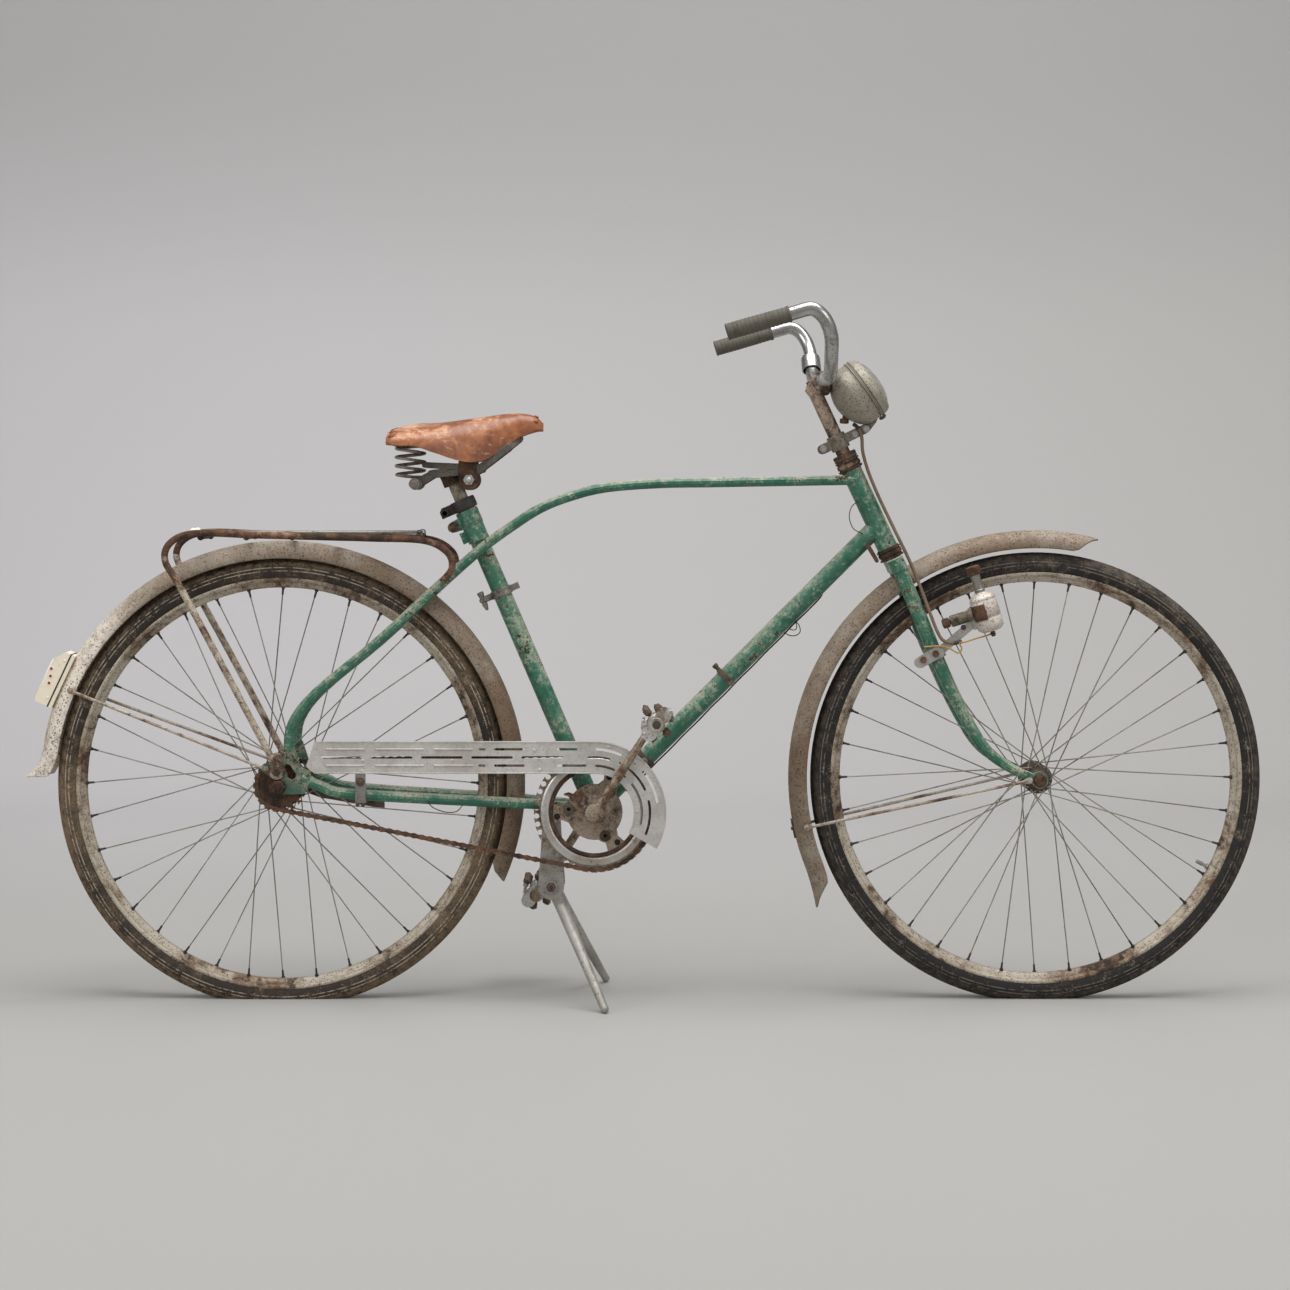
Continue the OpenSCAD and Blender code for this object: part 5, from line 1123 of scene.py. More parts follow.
def crankArm(side, angle):
    # an oval rod whose half sizes shrink evenly from the boss to the pedal's eye, with a bell-shaped swelling there
    way = unit(polar(origin, 1, angle))
    out = np.array([0.0, side, 0])
    long = crank["long"]
    centre = crankCentre + out * (crank["y"] + crank["bossOut"]) * mm
    eyeAt = centre + long * mm * way
    steps = np.linspace(4, long - 5, 26)
    share = steps / long
    a = np.arange(16) * np.pi / 8
    wide = (crank["wide"] - crank["narrow"] * share) + 2.2 * np.exp(-((1 - share) / 0.06) ** 2)
    thick = crank["thick"] - crank["thin"] * share
    acrossWay = np.cross(way, out)
    rings = (centre + steps[:, None] * mm * way)[:, None] + (
        np.cos(a)[None, :, None] * wide[:, None, None] * acrossWay
        + np.sin(a)[None, :, None] * thick[:, None, None] * out) * mm
    boss = lathe([(15, -4.8), (15, 2.2), (13.6, 4.4), (9, 5.4), (0.3, 5.6)], centre, out, 36)
    eye = lathe([(9.6, -5.2), (9.6, 4.2), (8.4, 5.2), (0.3, 5.3)], eyeAt, out, 28)
    inner = (45 if side < 0 else 34.6)
    seat = lathe([(12.5, inner), (14, inner + 2), (14, 62)], crankCentre, out, 32)
    axle = rods(crankCentre + out * 20 * mm, crankCentre + out * 62 * mm, 8, sides=20)
    pin = rods(eyeAt, eyeAt + out * 100 * mm, crank["pinR"], sides=14)
    washer = ringNut(eyeAt + out * 5.4 * mm, out, 8, crank["pinR"], 2.4)
    cotterWay, inward = unit(np.cross(way, out)), out * 1 * mm
    cotter = rods(centre - cotterWay * 16.5 * mm - inward, centre + cotterWay * 17 * mm - inward, crank["cotterR"],
                  3.2, 12)
    cotterNut = hexNut(centre + cotterWay * 14.4 * mm - inward, cotterWay, 9, 3.5)
    return joined([loft(rings), boss, eye, seat, axle, pin, washer]), joined([cotter, cotterNut])


def buildCranks():
    toPedal = jointAt("pedal_spin_right") - crankCentre
    rightTurn = math.degrees(math.atan2(toPedal[2], toPedal[0]))
    for side, name, turn in ((-1, "right", rightTurn), (1, "left", rightTurn + 180)):
        arm, cotter = crankArm(side, turn)
        make(name + "CrankArm", arm, "crank", crankSteel, [name + "_crank"])
        make(name + "CrankCotter", cotter, "crank", darkSteel)


# the blocks are what is left of the rubber: (turn, inner radius, outer radius, start, end)
pedal = dict(y=84.0, long=88.0, rodR=2.4, rods=((170, 19), (39, 27), (219, 25)),
             blocks=((128, 16, 29, 6, 85), (85, 17, 29, 30, 86), (20, 15, 27, 6, 80), (-42, 15, 28, 8, 85),
                     (-100, 14, 28, 5, 84)))


def blockRemnant(turn, low, high, start, end, seed):
    # what is left of a perished rubber block: an uneven wedge between two radii, its size wandering along it
    rng = np.random.default_rng(seed)
    steps = 9
    along = np.linspace(start, end, steps)
    a = np.radians(np.array([0, 60, 120, 180, 240, 300]))
    size = 1 + 0.28 * rng.standard_normal((steps, 6))
    size[0] *= 0.6
    size[-1] *= 0.6
    mid, half = (low + high) / 2, (high - low) / 2
    radial = mid + half * np.clip(size, 0.4, 1.35) * np.cos(a)
    aside = 5.4 * np.clip(size, 0.4, 1.3) * np.sin(a)
    t = math.radians(turn)
    x = radial * math.cos(t) - aside * math.sin(t)
    z = radial * math.sin(t) + aside * math.cos(t)
    return np.stack([x, np.broadcast_to(along[:, None], x.shape), z], -1) * mm


def pedalPlate(y, reach, seed):
    # a stamped plate whose edge swings out to four lobes
    a = np.radians(np.arange(0, 360, 6))
    r = 13 + (reach - 13) * np.clip(np.cos(2 * (a - seed)), 0, 1) ** 0.7
    return slab(np.stack([r * np.cos(a), r * np.sin(a)], 1), (0, y * mm, 0), (1, 0, 0), upright, 1.8, 0.3)


def buildPedal(side, name, body):
    # made outboard along +Y, then mirrored for the right side
    long = pedal["long"]
    sleeve = [(10.5, 0), (10.5, 6), (8.2, 8), (7.6, 20), (7.6, long - 20), (8.2, long - 8), (10.5, long - 6),
              (10.5, long)]
    steel = [lathe(sleeve, origin, leftWay, 28), pedalPlate(3.2, 27, 0.7), pedalPlate(long - 3.2, 29, 0.9)]
    for turn, r in pedal["rods"]:
        place = polar(origin, r, turn)
        steel += [rods(offset(place, 0, 1, 0), offset(place, 0, long - 1, 0), pedal["rodR"], sides=10),
                  ringNut(offset(place, 0, long - 3, 0), leftWay, 4.6, 2.3, 3, 16)]
    steel.append(rods((0.002, (long - 4) * mm, 0.024), (0.003, (long - 4) * mm, 0.0305), 1.8, 1.0, 8))
    capFoot = (0, (long - 1) * mm, 0)
    cap = lathe([(11, 0), (11, 2.4), (9.6, 4), (8.2, 4)], capFoot, leftWay, 32)
    well = lathe([(8.4, 0), (8.4, 3.4), (6.6, 3.4), (6.4, 4.4), (4.2, 4.8), (0.4, 4.9)], capFoot, leftWay, 28)
    blocks = [loft(blockRemnant(*block, seed)) for seed, block in enumerate(pedal["blocks"])]
    pivot = jointAt("pedal_spin_" + name) * np.array([1, 0, 1]) + np.array([0, side * pedal["y"] * mm, 0])
    for piece, finish, slot, tag, shapes in (("Plates", pedalSteel, "dull_steel", [name + "_pedal"], steel),
                                             ("Cap", pedalSteel, "dull_steel", [], [cap]),
                                             ("CapWell", shadowSteel, "dull_steel", [], [well]),
                                             ("Blocks", blockRubber, "block_rubber", [], blocks)):
        verts, faces = joined(shapes) if side > 0 else mirrored(joined(shapes))
        make(name + "Pedal" + piece, (verts + pivot, faces), body, finish, tag, angle=35)


# the guard's own band is the frame's; these are the rivets, rolled edges and pressed lines on it
guard = dict(y=-58.5, inner=60.0, wide=50.0, back=-424.0,
             rivets=((-355, 80), (-356, 64), (-218, 80.5), (-92, 96), (-84, 66)),
             roundRivets=((103, 78), (66, 56), (100, 52), (66, 2)),
             louvres=((-412, -352), (-336, -262), (-246, -186)))
guardFace = crankCentre + np.array([0, guard["y"] * mm, 0])


def guardBead(r):
    # a half-round edge that follows the band: straight behind the crank axle, then round it
    a = np.radians(np.linspace(90, -28, 50))
    x = np.concatenate([np.linspace(guard["back"], -6, 24), r * np.cos(a)])
    z = np.concatenate([np.full(24, r), r * np.sin(a)])
    return tube(guardFace + np.stack([x, 0 * x - 0.2, z], 1) * mm, 0.9, 8)


def buildGuard():
    rivets = [offset(guardFace, x, 0, z) for x, z in guard["rivets"]]
    rivets += [polar(guardFace, r, turn) for r, turn in guard["roundRivets"]]
    make("guardRivets", joined([domed(place, rightWay, 2.6, 1.3) for place in rivets]), "frame", alloyGrey)
    outer = guard["inner"] + guard["wide"]
    make("guardBeads", joined([guardBead(guard["inner"] + 1.2), guardBead(outer - 1.4)]), "frame", alloyGrey)
    lines = []
    for share in (0.25, 0.75):
        z = guard["inner"] + guard["wide"] * share
        for back, front in guard["louvres"]:
            path = np.linspace(offset(guardFace, back, 0.3, z), offset(guardFace, front, 0.3, z), 6)
            lines.append(tube(path, 1.9, 8))
    make("guardLouvres", joined(lines), "frame", alloyGrey)


buildChain()
buildChainring()
buildCranks()
buildPedal(-1, "right", "pedal_right")
buildPedal(1, "left", "pedal_left")
buildGuard()
print("drive ready")


saddle = dict(ahead=258.14, high=816.93, back=-92.0, long=238.0, half=95.0, skin=3.6, springX=-60.0, springY=52.0,
              springR=19.0, springLow=-11.5, springHigh=46.5, wire=2.2, turns=4.5)
postTop = at(saddle["ahead"], 0, saddle["high"])
seatUp = unit(postTop - crankCentre)
seatFwd = np.array([seatUp[2], 0, -seatUp[0]])
# heights above the post's top along the saddle, from back (0) to nose (1)
saddleTop = np.array([[0, 61], [0.1, 68.5], [0.36, 75.5], [0.58, 82.5], [0.74, 89.5], [0.86, 90.5], [0.95, 84],
                      [1, 72]])
saddleEdge = np.array([[0, 41], [0.08, 38.5], [0.19, 37.5], [0.3, 28], [0.45, 16], [0.56, 13.5], [0.66, 21],
                       [0.84, 51], [0.95, 62], [1, 64]])


def onPost(fwd, side, up):
    return postTop + np.stack(np.broadcast_arrays(fwd, side, up), -1) * mm


def onSeatTube(fwd, side, up):
    # measured along the seat tube from the crank axle
    return crankCentre + (fwd * seatFwd + up * seatUp) * mm + np.array([0, side * mm, 0])


def along(points, u):
    # height of a smooth line through the points, at u
    p = smoothPath(np.column_stack([points, np.zeros(len(points))]), 12)
    return np.interp(u, p[:, 0], p[:, 1])


def saddlePoint(u, v, inset):
    # wide cosine at the back running into a narrow nose; across, a quarter circle each side whose drop grows as
    # one less the cosine to the 0.7, down to the skirt's edge
    a = np.radians(90 * v)
    w = saddle["half"] * (0.17 + 0.83 * np.cos(np.radians(90 * np.minimum(1, u ** 0.8 * 1.02))) ** 1.6)
    w = w * np.sqrt(1 - 0.8 * np.clip((u - 0.93) / 0.07, 0, 1) ** 2) * (
        1 - 0.10 * np.clip((0.06 - u) / 0.06, 0, 1) ** 2)
    top, edge = along(saddleTop, u), along(saddleEdge, u)
    sag = 1.6 * np.sin(7 * u + 3 * v) * np.cos(a) + 1.2 * np.sin(13 * u - 4 * v) * np.cos(a) ** 2
    z = top - inset - (top - edge) * (1 - np.cos(a) ** 0.7) + sag * np.clip(u * 5, 0, 1)
    return onPost(saddle["back"] + saddle["long"] * u, (w - inset) * np.sin(a), z)


def saddleHide():
    # outer skin, rolled lip and inner skin as one ring at each step from back to nose
    u = np.linspace(0, 1, 72)[:, None]
    v = np.linspace(-1, 1, 61)[None, :]
    outer, inner = saddlePoint(u, v, 0), saddlePoint(u, v * 0.985, saddle["skin"])
    return loft(np.concatenate([outer, inner[:, ::-1]], axis=1))


def saddleRivet(u, v, r):
    here = saddlePoint(np.array(u), np.array(v), 0)
    du = saddlePoint(np.array(u + 0.01), np.array(v), 0) - saddlePoint(np.array(u - 0.01), np.array(v), 0)
    dv = saddlePoint(np.array(u), np.array(v + 0.01), 0) - saddlePoint(np.array(u), np.array(v - 0.01), 0)
    out = unit(np.cross(du, dv))
    out = out * np.sign(out[2] + 1e-9)
    washer = ringNut(here - out * 0.3 * mm, out, r * 1.25, r * 0.3, 0.9, 18)
    return joined([washer, domed(here + out * 0.4 * mm, out, r, 1.5)])


make("saddleHide", saddleHide(), "frame", leather, ["saddle_leather"], angle=55)
rivets = [saddleRivet(0.035, v, 4.2) for v in (-0.72, -0.5, -0.26, 0, 0.26, 0.5, 0.72)]
rivets += [saddleRivet(0.955, v, 3.4) for v in (-0.55, 0, 0.55)]
make("saddleRivets", joined(rivets), "frame", copperRivet)


def saddleSpring(side):
    # a helix that widens a little in its middle, its ends laid flat
    t = np.linspace(0, 1, int(saddle["turns"] * 24))
    a = 2 * np.pi * saddle["turns"] * t
    r = saddle["springR"] - 1.5 + 1.5 * np.sin(np.pi * t)
    rise = np.clip((t - 0.05) / 0.9, 0, 1)
    up = saddle["springLow"] + 2 + (saddle["springHigh"] - saddle["springLow"] - 4) * rise
    line = onPost(saddle["springX"] + r * np.cos(a), side * (saddle["springY"] + r * np.sin(a)), up)
    return tube(line, saddle["wire"], 10, ref=(0, 0, 1))


make("saddleSpringCoils", joined([saddleSpring(s) for s in (-1, 1)]), "frame", springSteel,
     ["saddle_springs"])


def buildSaddleFrame():
    # flat bars each side from the rear pivot to the nose, and the plate under the hide's back
    railY = 30.0
    frameParts = []
    for side in (-1, 1):
        out = np.array([0.0, side, 0])
        y = side * railY
        frameParts += [strap(onPost(-50, y, -20), onPost(-24, y, -5), 7, 6, 3.6, out),
                       strap(onPost(-26, y - side * 1.0, -5), onPost(50, y - side * 1.0, 3), 6.4, 6.6, 3.2, out),
                       strap(onPost(-36, y + side * 1.2, 9), onPost(44, y + side * 1.2, 5), 4.6, 5, 3.2, out),
                       strap(onPost(44, y, 0), onPost(92, y, 36), 6.2, 5.6, 3.4, out),
                       strap(onPost(90, y - side * 1.5, 35), onPost(109, side * 14, 49), 5.4, 5, 3,
                             unit((0.25, side, 0.1)))]
    frameParts += [rods(onPost(110, -15, 50), onPost(110, 15, 50), 4.6, sides=14),
                   rods(onPost(110, 0, 50), onPost(118, 0, 78), 3.6, sides=12),
                   strap(onPost(108, 0, 66), onPost(130, 0, 66), 6, 5, 2, upright)]
    plateU, plateV = np.array([0.045, 0.155])[:, None], np.linspace(-0.82, 0.82, 33)[None, :]
    under = saddlePoint(plateU, plateV, saddle["skin"] + 0.6)
    lower = saddlePoint(plateU, plateV, saddle["skin"] + 3.4)
    frameParts.append(loft(np.concatenate([under, lower[:, ::-1]], axis=1)))
    make("saddleRails", joined(frameParts), "frame", darkRail, ["saddle_frame"])


def buildSaddleRoller():
    rollers = [rods(onPost(-50, -73, -20), onPost(-50, 73, -20), 4.0, sides=14)]
    for side in (-1, 1):
        out = (0, side, 0)
        rollers += [lathe([(7, 0), (8, 1), (8, 12), (7, 13)], onPost(-50, side * 59.5, -20), out, 24),
                    lathe([(8.6, 0), (9.6, 1), (9.6, 5), (8.6, 6)], onPost(-50, side * 32.5, -20), out, 24),
                    lathe([(6.4, 0), (6.4, 26)], onPost(-50, side * 33, -20), out, 20),
                    domed(onPost(-50, side * 72.6, -20), out, 5.4, 2.6)]
    make("saddleRoller", joined(rollers), "frame", greySteel)


def buildSaddleClamp():
    clamp = [lathe([(15.4, -36), (16, -34), (16, -31), (13, -30), (13, -12), (15.5, -10), (15.5, 10), (13, 12),
                    (13, 30), (16, 31), (16, 34), (15.4, 36)], onPost(32, 0, -14), (0, 1, 0), 32)]
    clamp += [slab([(-14, -15), (14, -15), (14, 18), (-14, 18)], onPost(30, side * 33.6, 4), (1, 0, 0), upright, 3, 0.6)
              for side in (-1, 1)]
    clamp.append(lathe([(17, -22), (17.4, -21), (17.4, -1), (16, 0), (11.1, 0), (11.1, -22)], postTop, seatUp, 28,
                       loop=True))
    make("saddleClamp", joined(clamp), "frame", clampRust)
    bolts = []
    for side in (-1, 1):
        out = (0, side, 0)
        bolts += [hexNut(onPost(32, side * 36, -14), out, 15, 6), domed(onPost(32, side * 42, -14), out, 4.6, 4)]
    make("saddleClampBolt", joined(bolts), "frame", brightBolt)


seatTop = np.linalg.norm(postTop - crankCentre) / mm - 66


def buildSeatCollars():
    # the post's sleeve, the dark collar above and the painted lug below, each with its bolt
    post = lathe([(11, 0), (11, 66.5), (10.2, 67)], onSeatTube(0, 0, seatTop - 1), seatUp, 32)
    make("seatPostSleeve", post, "frame", postSteel, ["seat_post"])
    collar = [lathe([(14.6, 0), (19, 0.6), (20, 3), (20, 15), (19, 17.6), (11.3, 18), (11.3, 14)],
                    onSeatTube(0, 0, seatTop + 0.2), seatUp, 36)]
    for s in (-1, 1):
        collar.append(slab([(-15, -8), (8, -8), (8, 8), (-10, 8), (-15, 3)], onSeatTube(-24, s * 6, seatTop + 9),
                           seatFwd, seatUp, 4, 0.8))
    collar.append(rods(onSeatTube(-32, -15, seatTop + 8), onSeatTube(-32, 15, seatTop + 8), 4, sides=14))
    collar += [hexNut(onSeatTube(-32, s * 9, seatTop + 8), (0, s, 0), 12, 6) for s in (-1, 1)]
    make("seatClampDark", joined(collar), "frame", blackSteel, ["seat_collar"])
    lug = [lathe([(14.35, -27), (17.4, -26.4), (17.8, -24), (17.8, -2), (17, -0.4), (14.4, -0.2)],
                 onSeatTube(0, 0, seatTop), seatUp, 40)]
    for s in (-1, 1):
        lug.append(slab(roundBar(16, 8.5, 10), onSeatTube(-29, s * 5.6, seatTop - 17), seatFwd, seatUp, 5, 1.0))
    make("seatLugCollar", joined(lug), "frame", tealPaint)
    nuts = []
    for s in (-1, 1):
        out = (0, s, 0)
        nuts += [ringNut(onSeatTube(-29, s * 8.2, seatTop - 17), out, 8.2, 3, 1.4),
                 hexNut(onSeatTube(-29, s * 9.6, seatTop - 17), out, 12.5, 5),
                 domed(onSeatTube(-29, s * 14.6, seatTop - 17), out, 3.8, 2.6)]
    make("seatLugNuts", joined(nuts), "frame", brassNut)


def buildWingClamp():
    wing = [ringNut(onSeatTube(0, 0, 360 + y), seatUp, 16.9, 14.4, 3.6, 36) for y in (0, 8.4)]
    wing += [ringNut(onSeatTube(0, 0, 363.4), seatUp, 16.2, 14.4, 5.2, 36),
             rods(onSeatTube(-16, -2, 366), onSeatTube(-29, -2, 366), 4.2, sides=12),
             lathe([(1.6, -17), (2.6, -15), (4.4, -8), (4.0, -4), (6.0, -2), (6.0, 2), (4.0, 4), (5.0, 9), (5.6, 12),
                    (3.8, 13.4)], onSeatTube(-31, -2, 366), seatUp, 16)]
    make("seatTubeWingClamp", joined(wing), "frame", greySteel)


buildSaddleFrame()
buildSaddleRoller()
buildSaddleClamp()
buildSeatCollars()
buildWingClamp()
print("saddle ready")


bars = dict(centreAhead=836.19, centreHigh=956.79, r=10.5, reach=258.0, gripR=12.4, gripLong=97.0, gripDrop=16.0,
            stemX=17.0, high=287.0, headLong=133.0, cupTop=160.0)
barCentre = at(bars["centreAhead"], 0, bars["centreHigh"])
gripEnd = np.array([-157, bars["reach"], 62.0])
gripWay = np.array([math.cos(math.radians(bars["gripDrop"])), 0, math.sin(math.radians(bars["gripDrop"]))])
gripStart = gripEnd + bars["gripLong"] * gripWay
reach = bars["reach"]
halfBar = np.array([[0, 0, 0], [0, 60, 0], [0, reach - 98, 0], [0, reach - 70, 4], [-1, reach - 36, 27],
                    [-3, reach - 14, 58], [-14, reach - 3, 83], [-32, reach, 96], gripStart + [8, 0, 2.3], gripStart,
                    gripEnd + [4, 0, 1.1]])
leftHalf = smoothPath(halfBar, 10)
barLine = np.vstack([(leftHalf * [1, -1, 1])[:0:-1], leftHalf])
make("barTube", tube(barCentre + barLine * mm, bars["r"], 28, ref=(0.6, 0.45, -0.7)), "steering", chromeBars,
     ["handlebar"])


def gripSleeve():
    # a ribbed sleeve, open at its rear end, on its own axis
    h = np.linspace(3, bars["gripLong"] - 4, 90)
    r = bars["gripR"] - 0.35 + 0.3 * np.cos(h * 2 * np.pi / 6.2) + 0.3 * np.sin(h * 0.05)
    outer = np.stack([r, h], 1)
    end = bars["gripLong"]
    closing = [[12.8, end - 3], [12.6, end - 1], [11.4, end], [10.6, end], [10.6, end - 6], [10.6, 14], [9.2, 13]]
    return np.vstack([[[9.6, 0], [11.2, 0], [12.9, 0.8], [13.1, 2.2]], outer, closing])


def buildGrips():
    for side, name in ((-1, "right"), (1, "left")):
        flip = np.array([1, side, 1])
        start = barCentre + gripEnd * flip * mm
        make(name + "GripSleeve", lathe(gripSleeve(), start, gripWay, 32, loop=True), "steering", gripRubber,
             ["grips"], angle=70)
        # a near-black disc inside the grip's open end: painted shade of its hollow
        hole = lathe([(9.4, 6), (9.4, 6.5), (0.3, 6.6)], start, gripWay, 24)
        make(name + "GripHollowShade", hole, "steering", shadowHole)


def buildBarCollar():
    collarLow, collarHigh = np.array([-1, reach - 36, 25.0]), np.array([-2.5, reach - 22, 47.0])
    collarLong = np.linalg.norm(collarHigh - collarLow)
    collar = [(13.9, 0), (15.4, 0), (15.6, 1.2), (15.6, collarLong - 4), (14.6, collarLong - 1), (10.8, collarLong),
              (10.8, collarLong - 2), (13.7, collarLong - 5)]
    make("barCollar", lathe(collar, barCentre + collarLow * mm, collarHigh - collarLow, 36, loop=True), "steering",
         chromeBars)


def buildStem():
    # quill, clamp and bolts, then the lock nut and the rings of the headset
    stem = [lathe([(11, 0), (11, 138), (12.6, 144), (13.6, 151)], fromFork(0, 0, bars["headLong"] + 1), steerUp, 32),
            lathe([(13.2, -18), (15, -17), (15, -8), (14, -6), (14, 6), (15, 8), (15, 17), (13.2, 18)],
                  fromFork(bars["stemX"], 0, bars["high"]), (0, 1, 0), 36),
            strap(fromFork(0, 0, bars["high"] - 6), fromFork(bars["stemX"], 0, bars["high"] - 1), 11.6, 13.6, 22)]
    make("stemQuill", joined(stem), "steering", stemRust, ["stem"])
    boltX, boltUp = bars["stemX"] - 2, bars["high"] - 15.5
    expander = [ringNut(fromFork(0, 0, bars["high"] - 2.5), steerUp, 9.6, 2, 1.6),
                hexNut(fromFork(0, 0, bars["high"] - 1), steerUp, 13, 8.6),
                hexNut(fromFork(boltX, -17.8, boltUp), rightWay, 11, 6),
                rods(fromFork(boltX, -18, boltUp), fromFork(boltX, 18, boltUp), 3.6, sides=12),
                strap(fromFork(boltX, -9, bars["high"] - 8), fromFork(boltX, -9, bars["high"] - 17), 9, 7, 16)]
    make("stemBolts", joined(expander), "steering", clampRust)

    nut = bars["cupTop"] + 0.3
    lock = [lathe([(17.6, 0), (18.7, 0.5), (18.7, 2.6), (18.0, 3), (18.0, 3.6), (18.8, 4.2), (18.8, 8.4), (17.8, 9.3),
                   (13, 9.6)], fromFork(0, 0, nut), steerUp, 40),
            ringNut(fromFork(0, 0, nut - 17.6), steerUp, 19.6, 17.2, 3.2, 40)]
    make("headLockNut", joined(lock), "steering", clampRust)
    races = [ringNut(fromFork(0, 0, z), steerUp, 19.4, 17.4, 2.6, 40) for z in (-8.6, 4.6, 143.2, 156.6)]
    make("headRaceRings", joined(races), "frame", steelRust)


lamp = dict(fwd=66.0, up=246.0, r=49.5, back=47.0, riseFromFork=10.0)
lampCentre = fromFork(lamp["fwd"], 0, lamp["up"])
t = math.radians(lamp["riseFromFork"])
lampWay = steerFwd * math.cos(t) + steerUp * math.sin(t)


def buildLamp():
    # the bowl's radius is the cosine of the angle from the rim, swelled by a tenth of the sine of twice that angle
    # and held to its largest; its depth is the sine
    a = np.radians(np.linspace(89, 0, 26))
    wide = lamp["r"] * 0.985 * np.cos(a) * (1 + 0.10 * np.sin(2 * a))
    bowl = np.stack([np.minimum(wide, lamp["r"] * 0.985), -lamp["back"] * np.sin(a)], 1)
    lampRim = [[49.4, 0.8], [49.4, 2.6], [48.2, 3.4], [48.2, 4.6], [49.5, 5.4], [49.5, 8.6], [48.6, 11], [47.4, 15.5],
               [45.4, 19.4], [42.4, 21.6], [41, 20.8], [41, 18]]
    shell = np.vstack([[[0.4, -lamp["back"]]], bowl[1:], lampRim])
    make("lampShell", lathe(shell, lampCentre, lampWay, 64), "steering", lampSteel, ["headlamp"],
         angle=50)
    mirror = [(41, 18.2), (40, 16), (33, 4), (22, -6), (9, -11), (0.4, -11.4)]
    make("lampMirror", lathe(mirror, lampCentre, lampWay, 48), "steering", polishedRing)
    glass = [(41.4, 19.4), (37, 23.8), (29, 28), (18, 30.6), (6, 31.8), (0.4, 31.9)]
    make("lampGlass", lathe(glass, lampCentre, lampWay, 48), "steering", lensGlass)
    rim = [ringNut(lampCentre + lampWay * h * mm, lampWay, 50.1, 48, 1.3, 64) for h in (1.0, 6.6)]
    lampTop = -np.cross(lampWay, leftWay)
    rim.append(lathe([(6, 0), (6, 3), (3, 5), (0.3, 5.2)], lampCentre + lampWay * 4 * mm + lampTop * 49.6 * mm, lampTop,
                     16))
    make("lampSeams", joined(rim), "steering", darkSteel)


def buildLampBracket():
    z = 190.0
    straps = [lathe([(11.2, -12), (14.4, -12), (14.9, -11), (14.9, 11), (14.4, 12), (11.2, 12)], fromFork(0, 0, z),
                    steerUp, 36, loop=True)]
    for side in (-1, 1):
        out = np.array([0.0, side, 0])
        straps.append(strap(fromFork(-27, side * 6.5, z), fromFork(46, side * 6.5, z + 1), 7.6, 7.2, 3, out))
    straps.append(strap(fromFork(47, 0, z + 1), fromFork(63, 0, z + 8), 7, 6, 9))
    straps.append(lathe([(8, -1), (8, 3), (5, 5)], fromFork(62, 0, z + 7), lampCentre - fromFork(62, 0, z + 7), 20))
    make("lampBracketEars", joined(straps), "steering", bracketSteel, ["lamp_bracket"])
    ears = []
    for side in (-1, 1):
        out = np.array([0.0, side, 0])
        for x in (-26, 28, 47):
            ears += [ringNut(fromFork(x, side * 8, z), out, 6, 2, 1, 18),
                     hexNut(fromFork(x, side * 9, z), out, 8.6, 2.8)]
    make("lampBracketBolts", joined(ears), "steering", brightBolt)
    thumbAt = fromFork(26, 0, 223)
    thumb = lathe([(3, 0), (3, 4), (6.4, 4.6), (7, 6), (7, 11), (6, 12), (3, 12.4)], thumbAt,
                  fromFork(20, 0, 211) - thumbAt, 12)
    make("lampThumbNut", thumb, "steering", clampRust)


buildGrips()
buildBarCollar()
buildStem()
buildLamp()
buildLampBracket()
print("bars and lamp ready")


small = dict(dynamoTurn=107.5, dynamoY=-48.0, dynamoR=21.0, lampTurn=155.0, lampOut=400.0, fenderR=376.0,
             standX=417.0, standZ=176.0)
a = math.radians(small["dynamoTurn"])
dynamoUp = np.array([math.cos(a), 0, math.sin(a)])
dynamoBack = np.array([-math.sin(a), 0, math.cos(a)])
dynamoFoot = frontAxle + np.array([0, small["dynamoY"] * mm, 0])
r = small["dynamoR"]


def byDynamo(back, side, up):
    back, side, up = (np.asarray(v, float)[..., None] for v in (back, side, up))
    return dynamoFoot + (back * dynamoBack + up * dynamoUp + side * np.array([0, 1.0, 0])) * mm


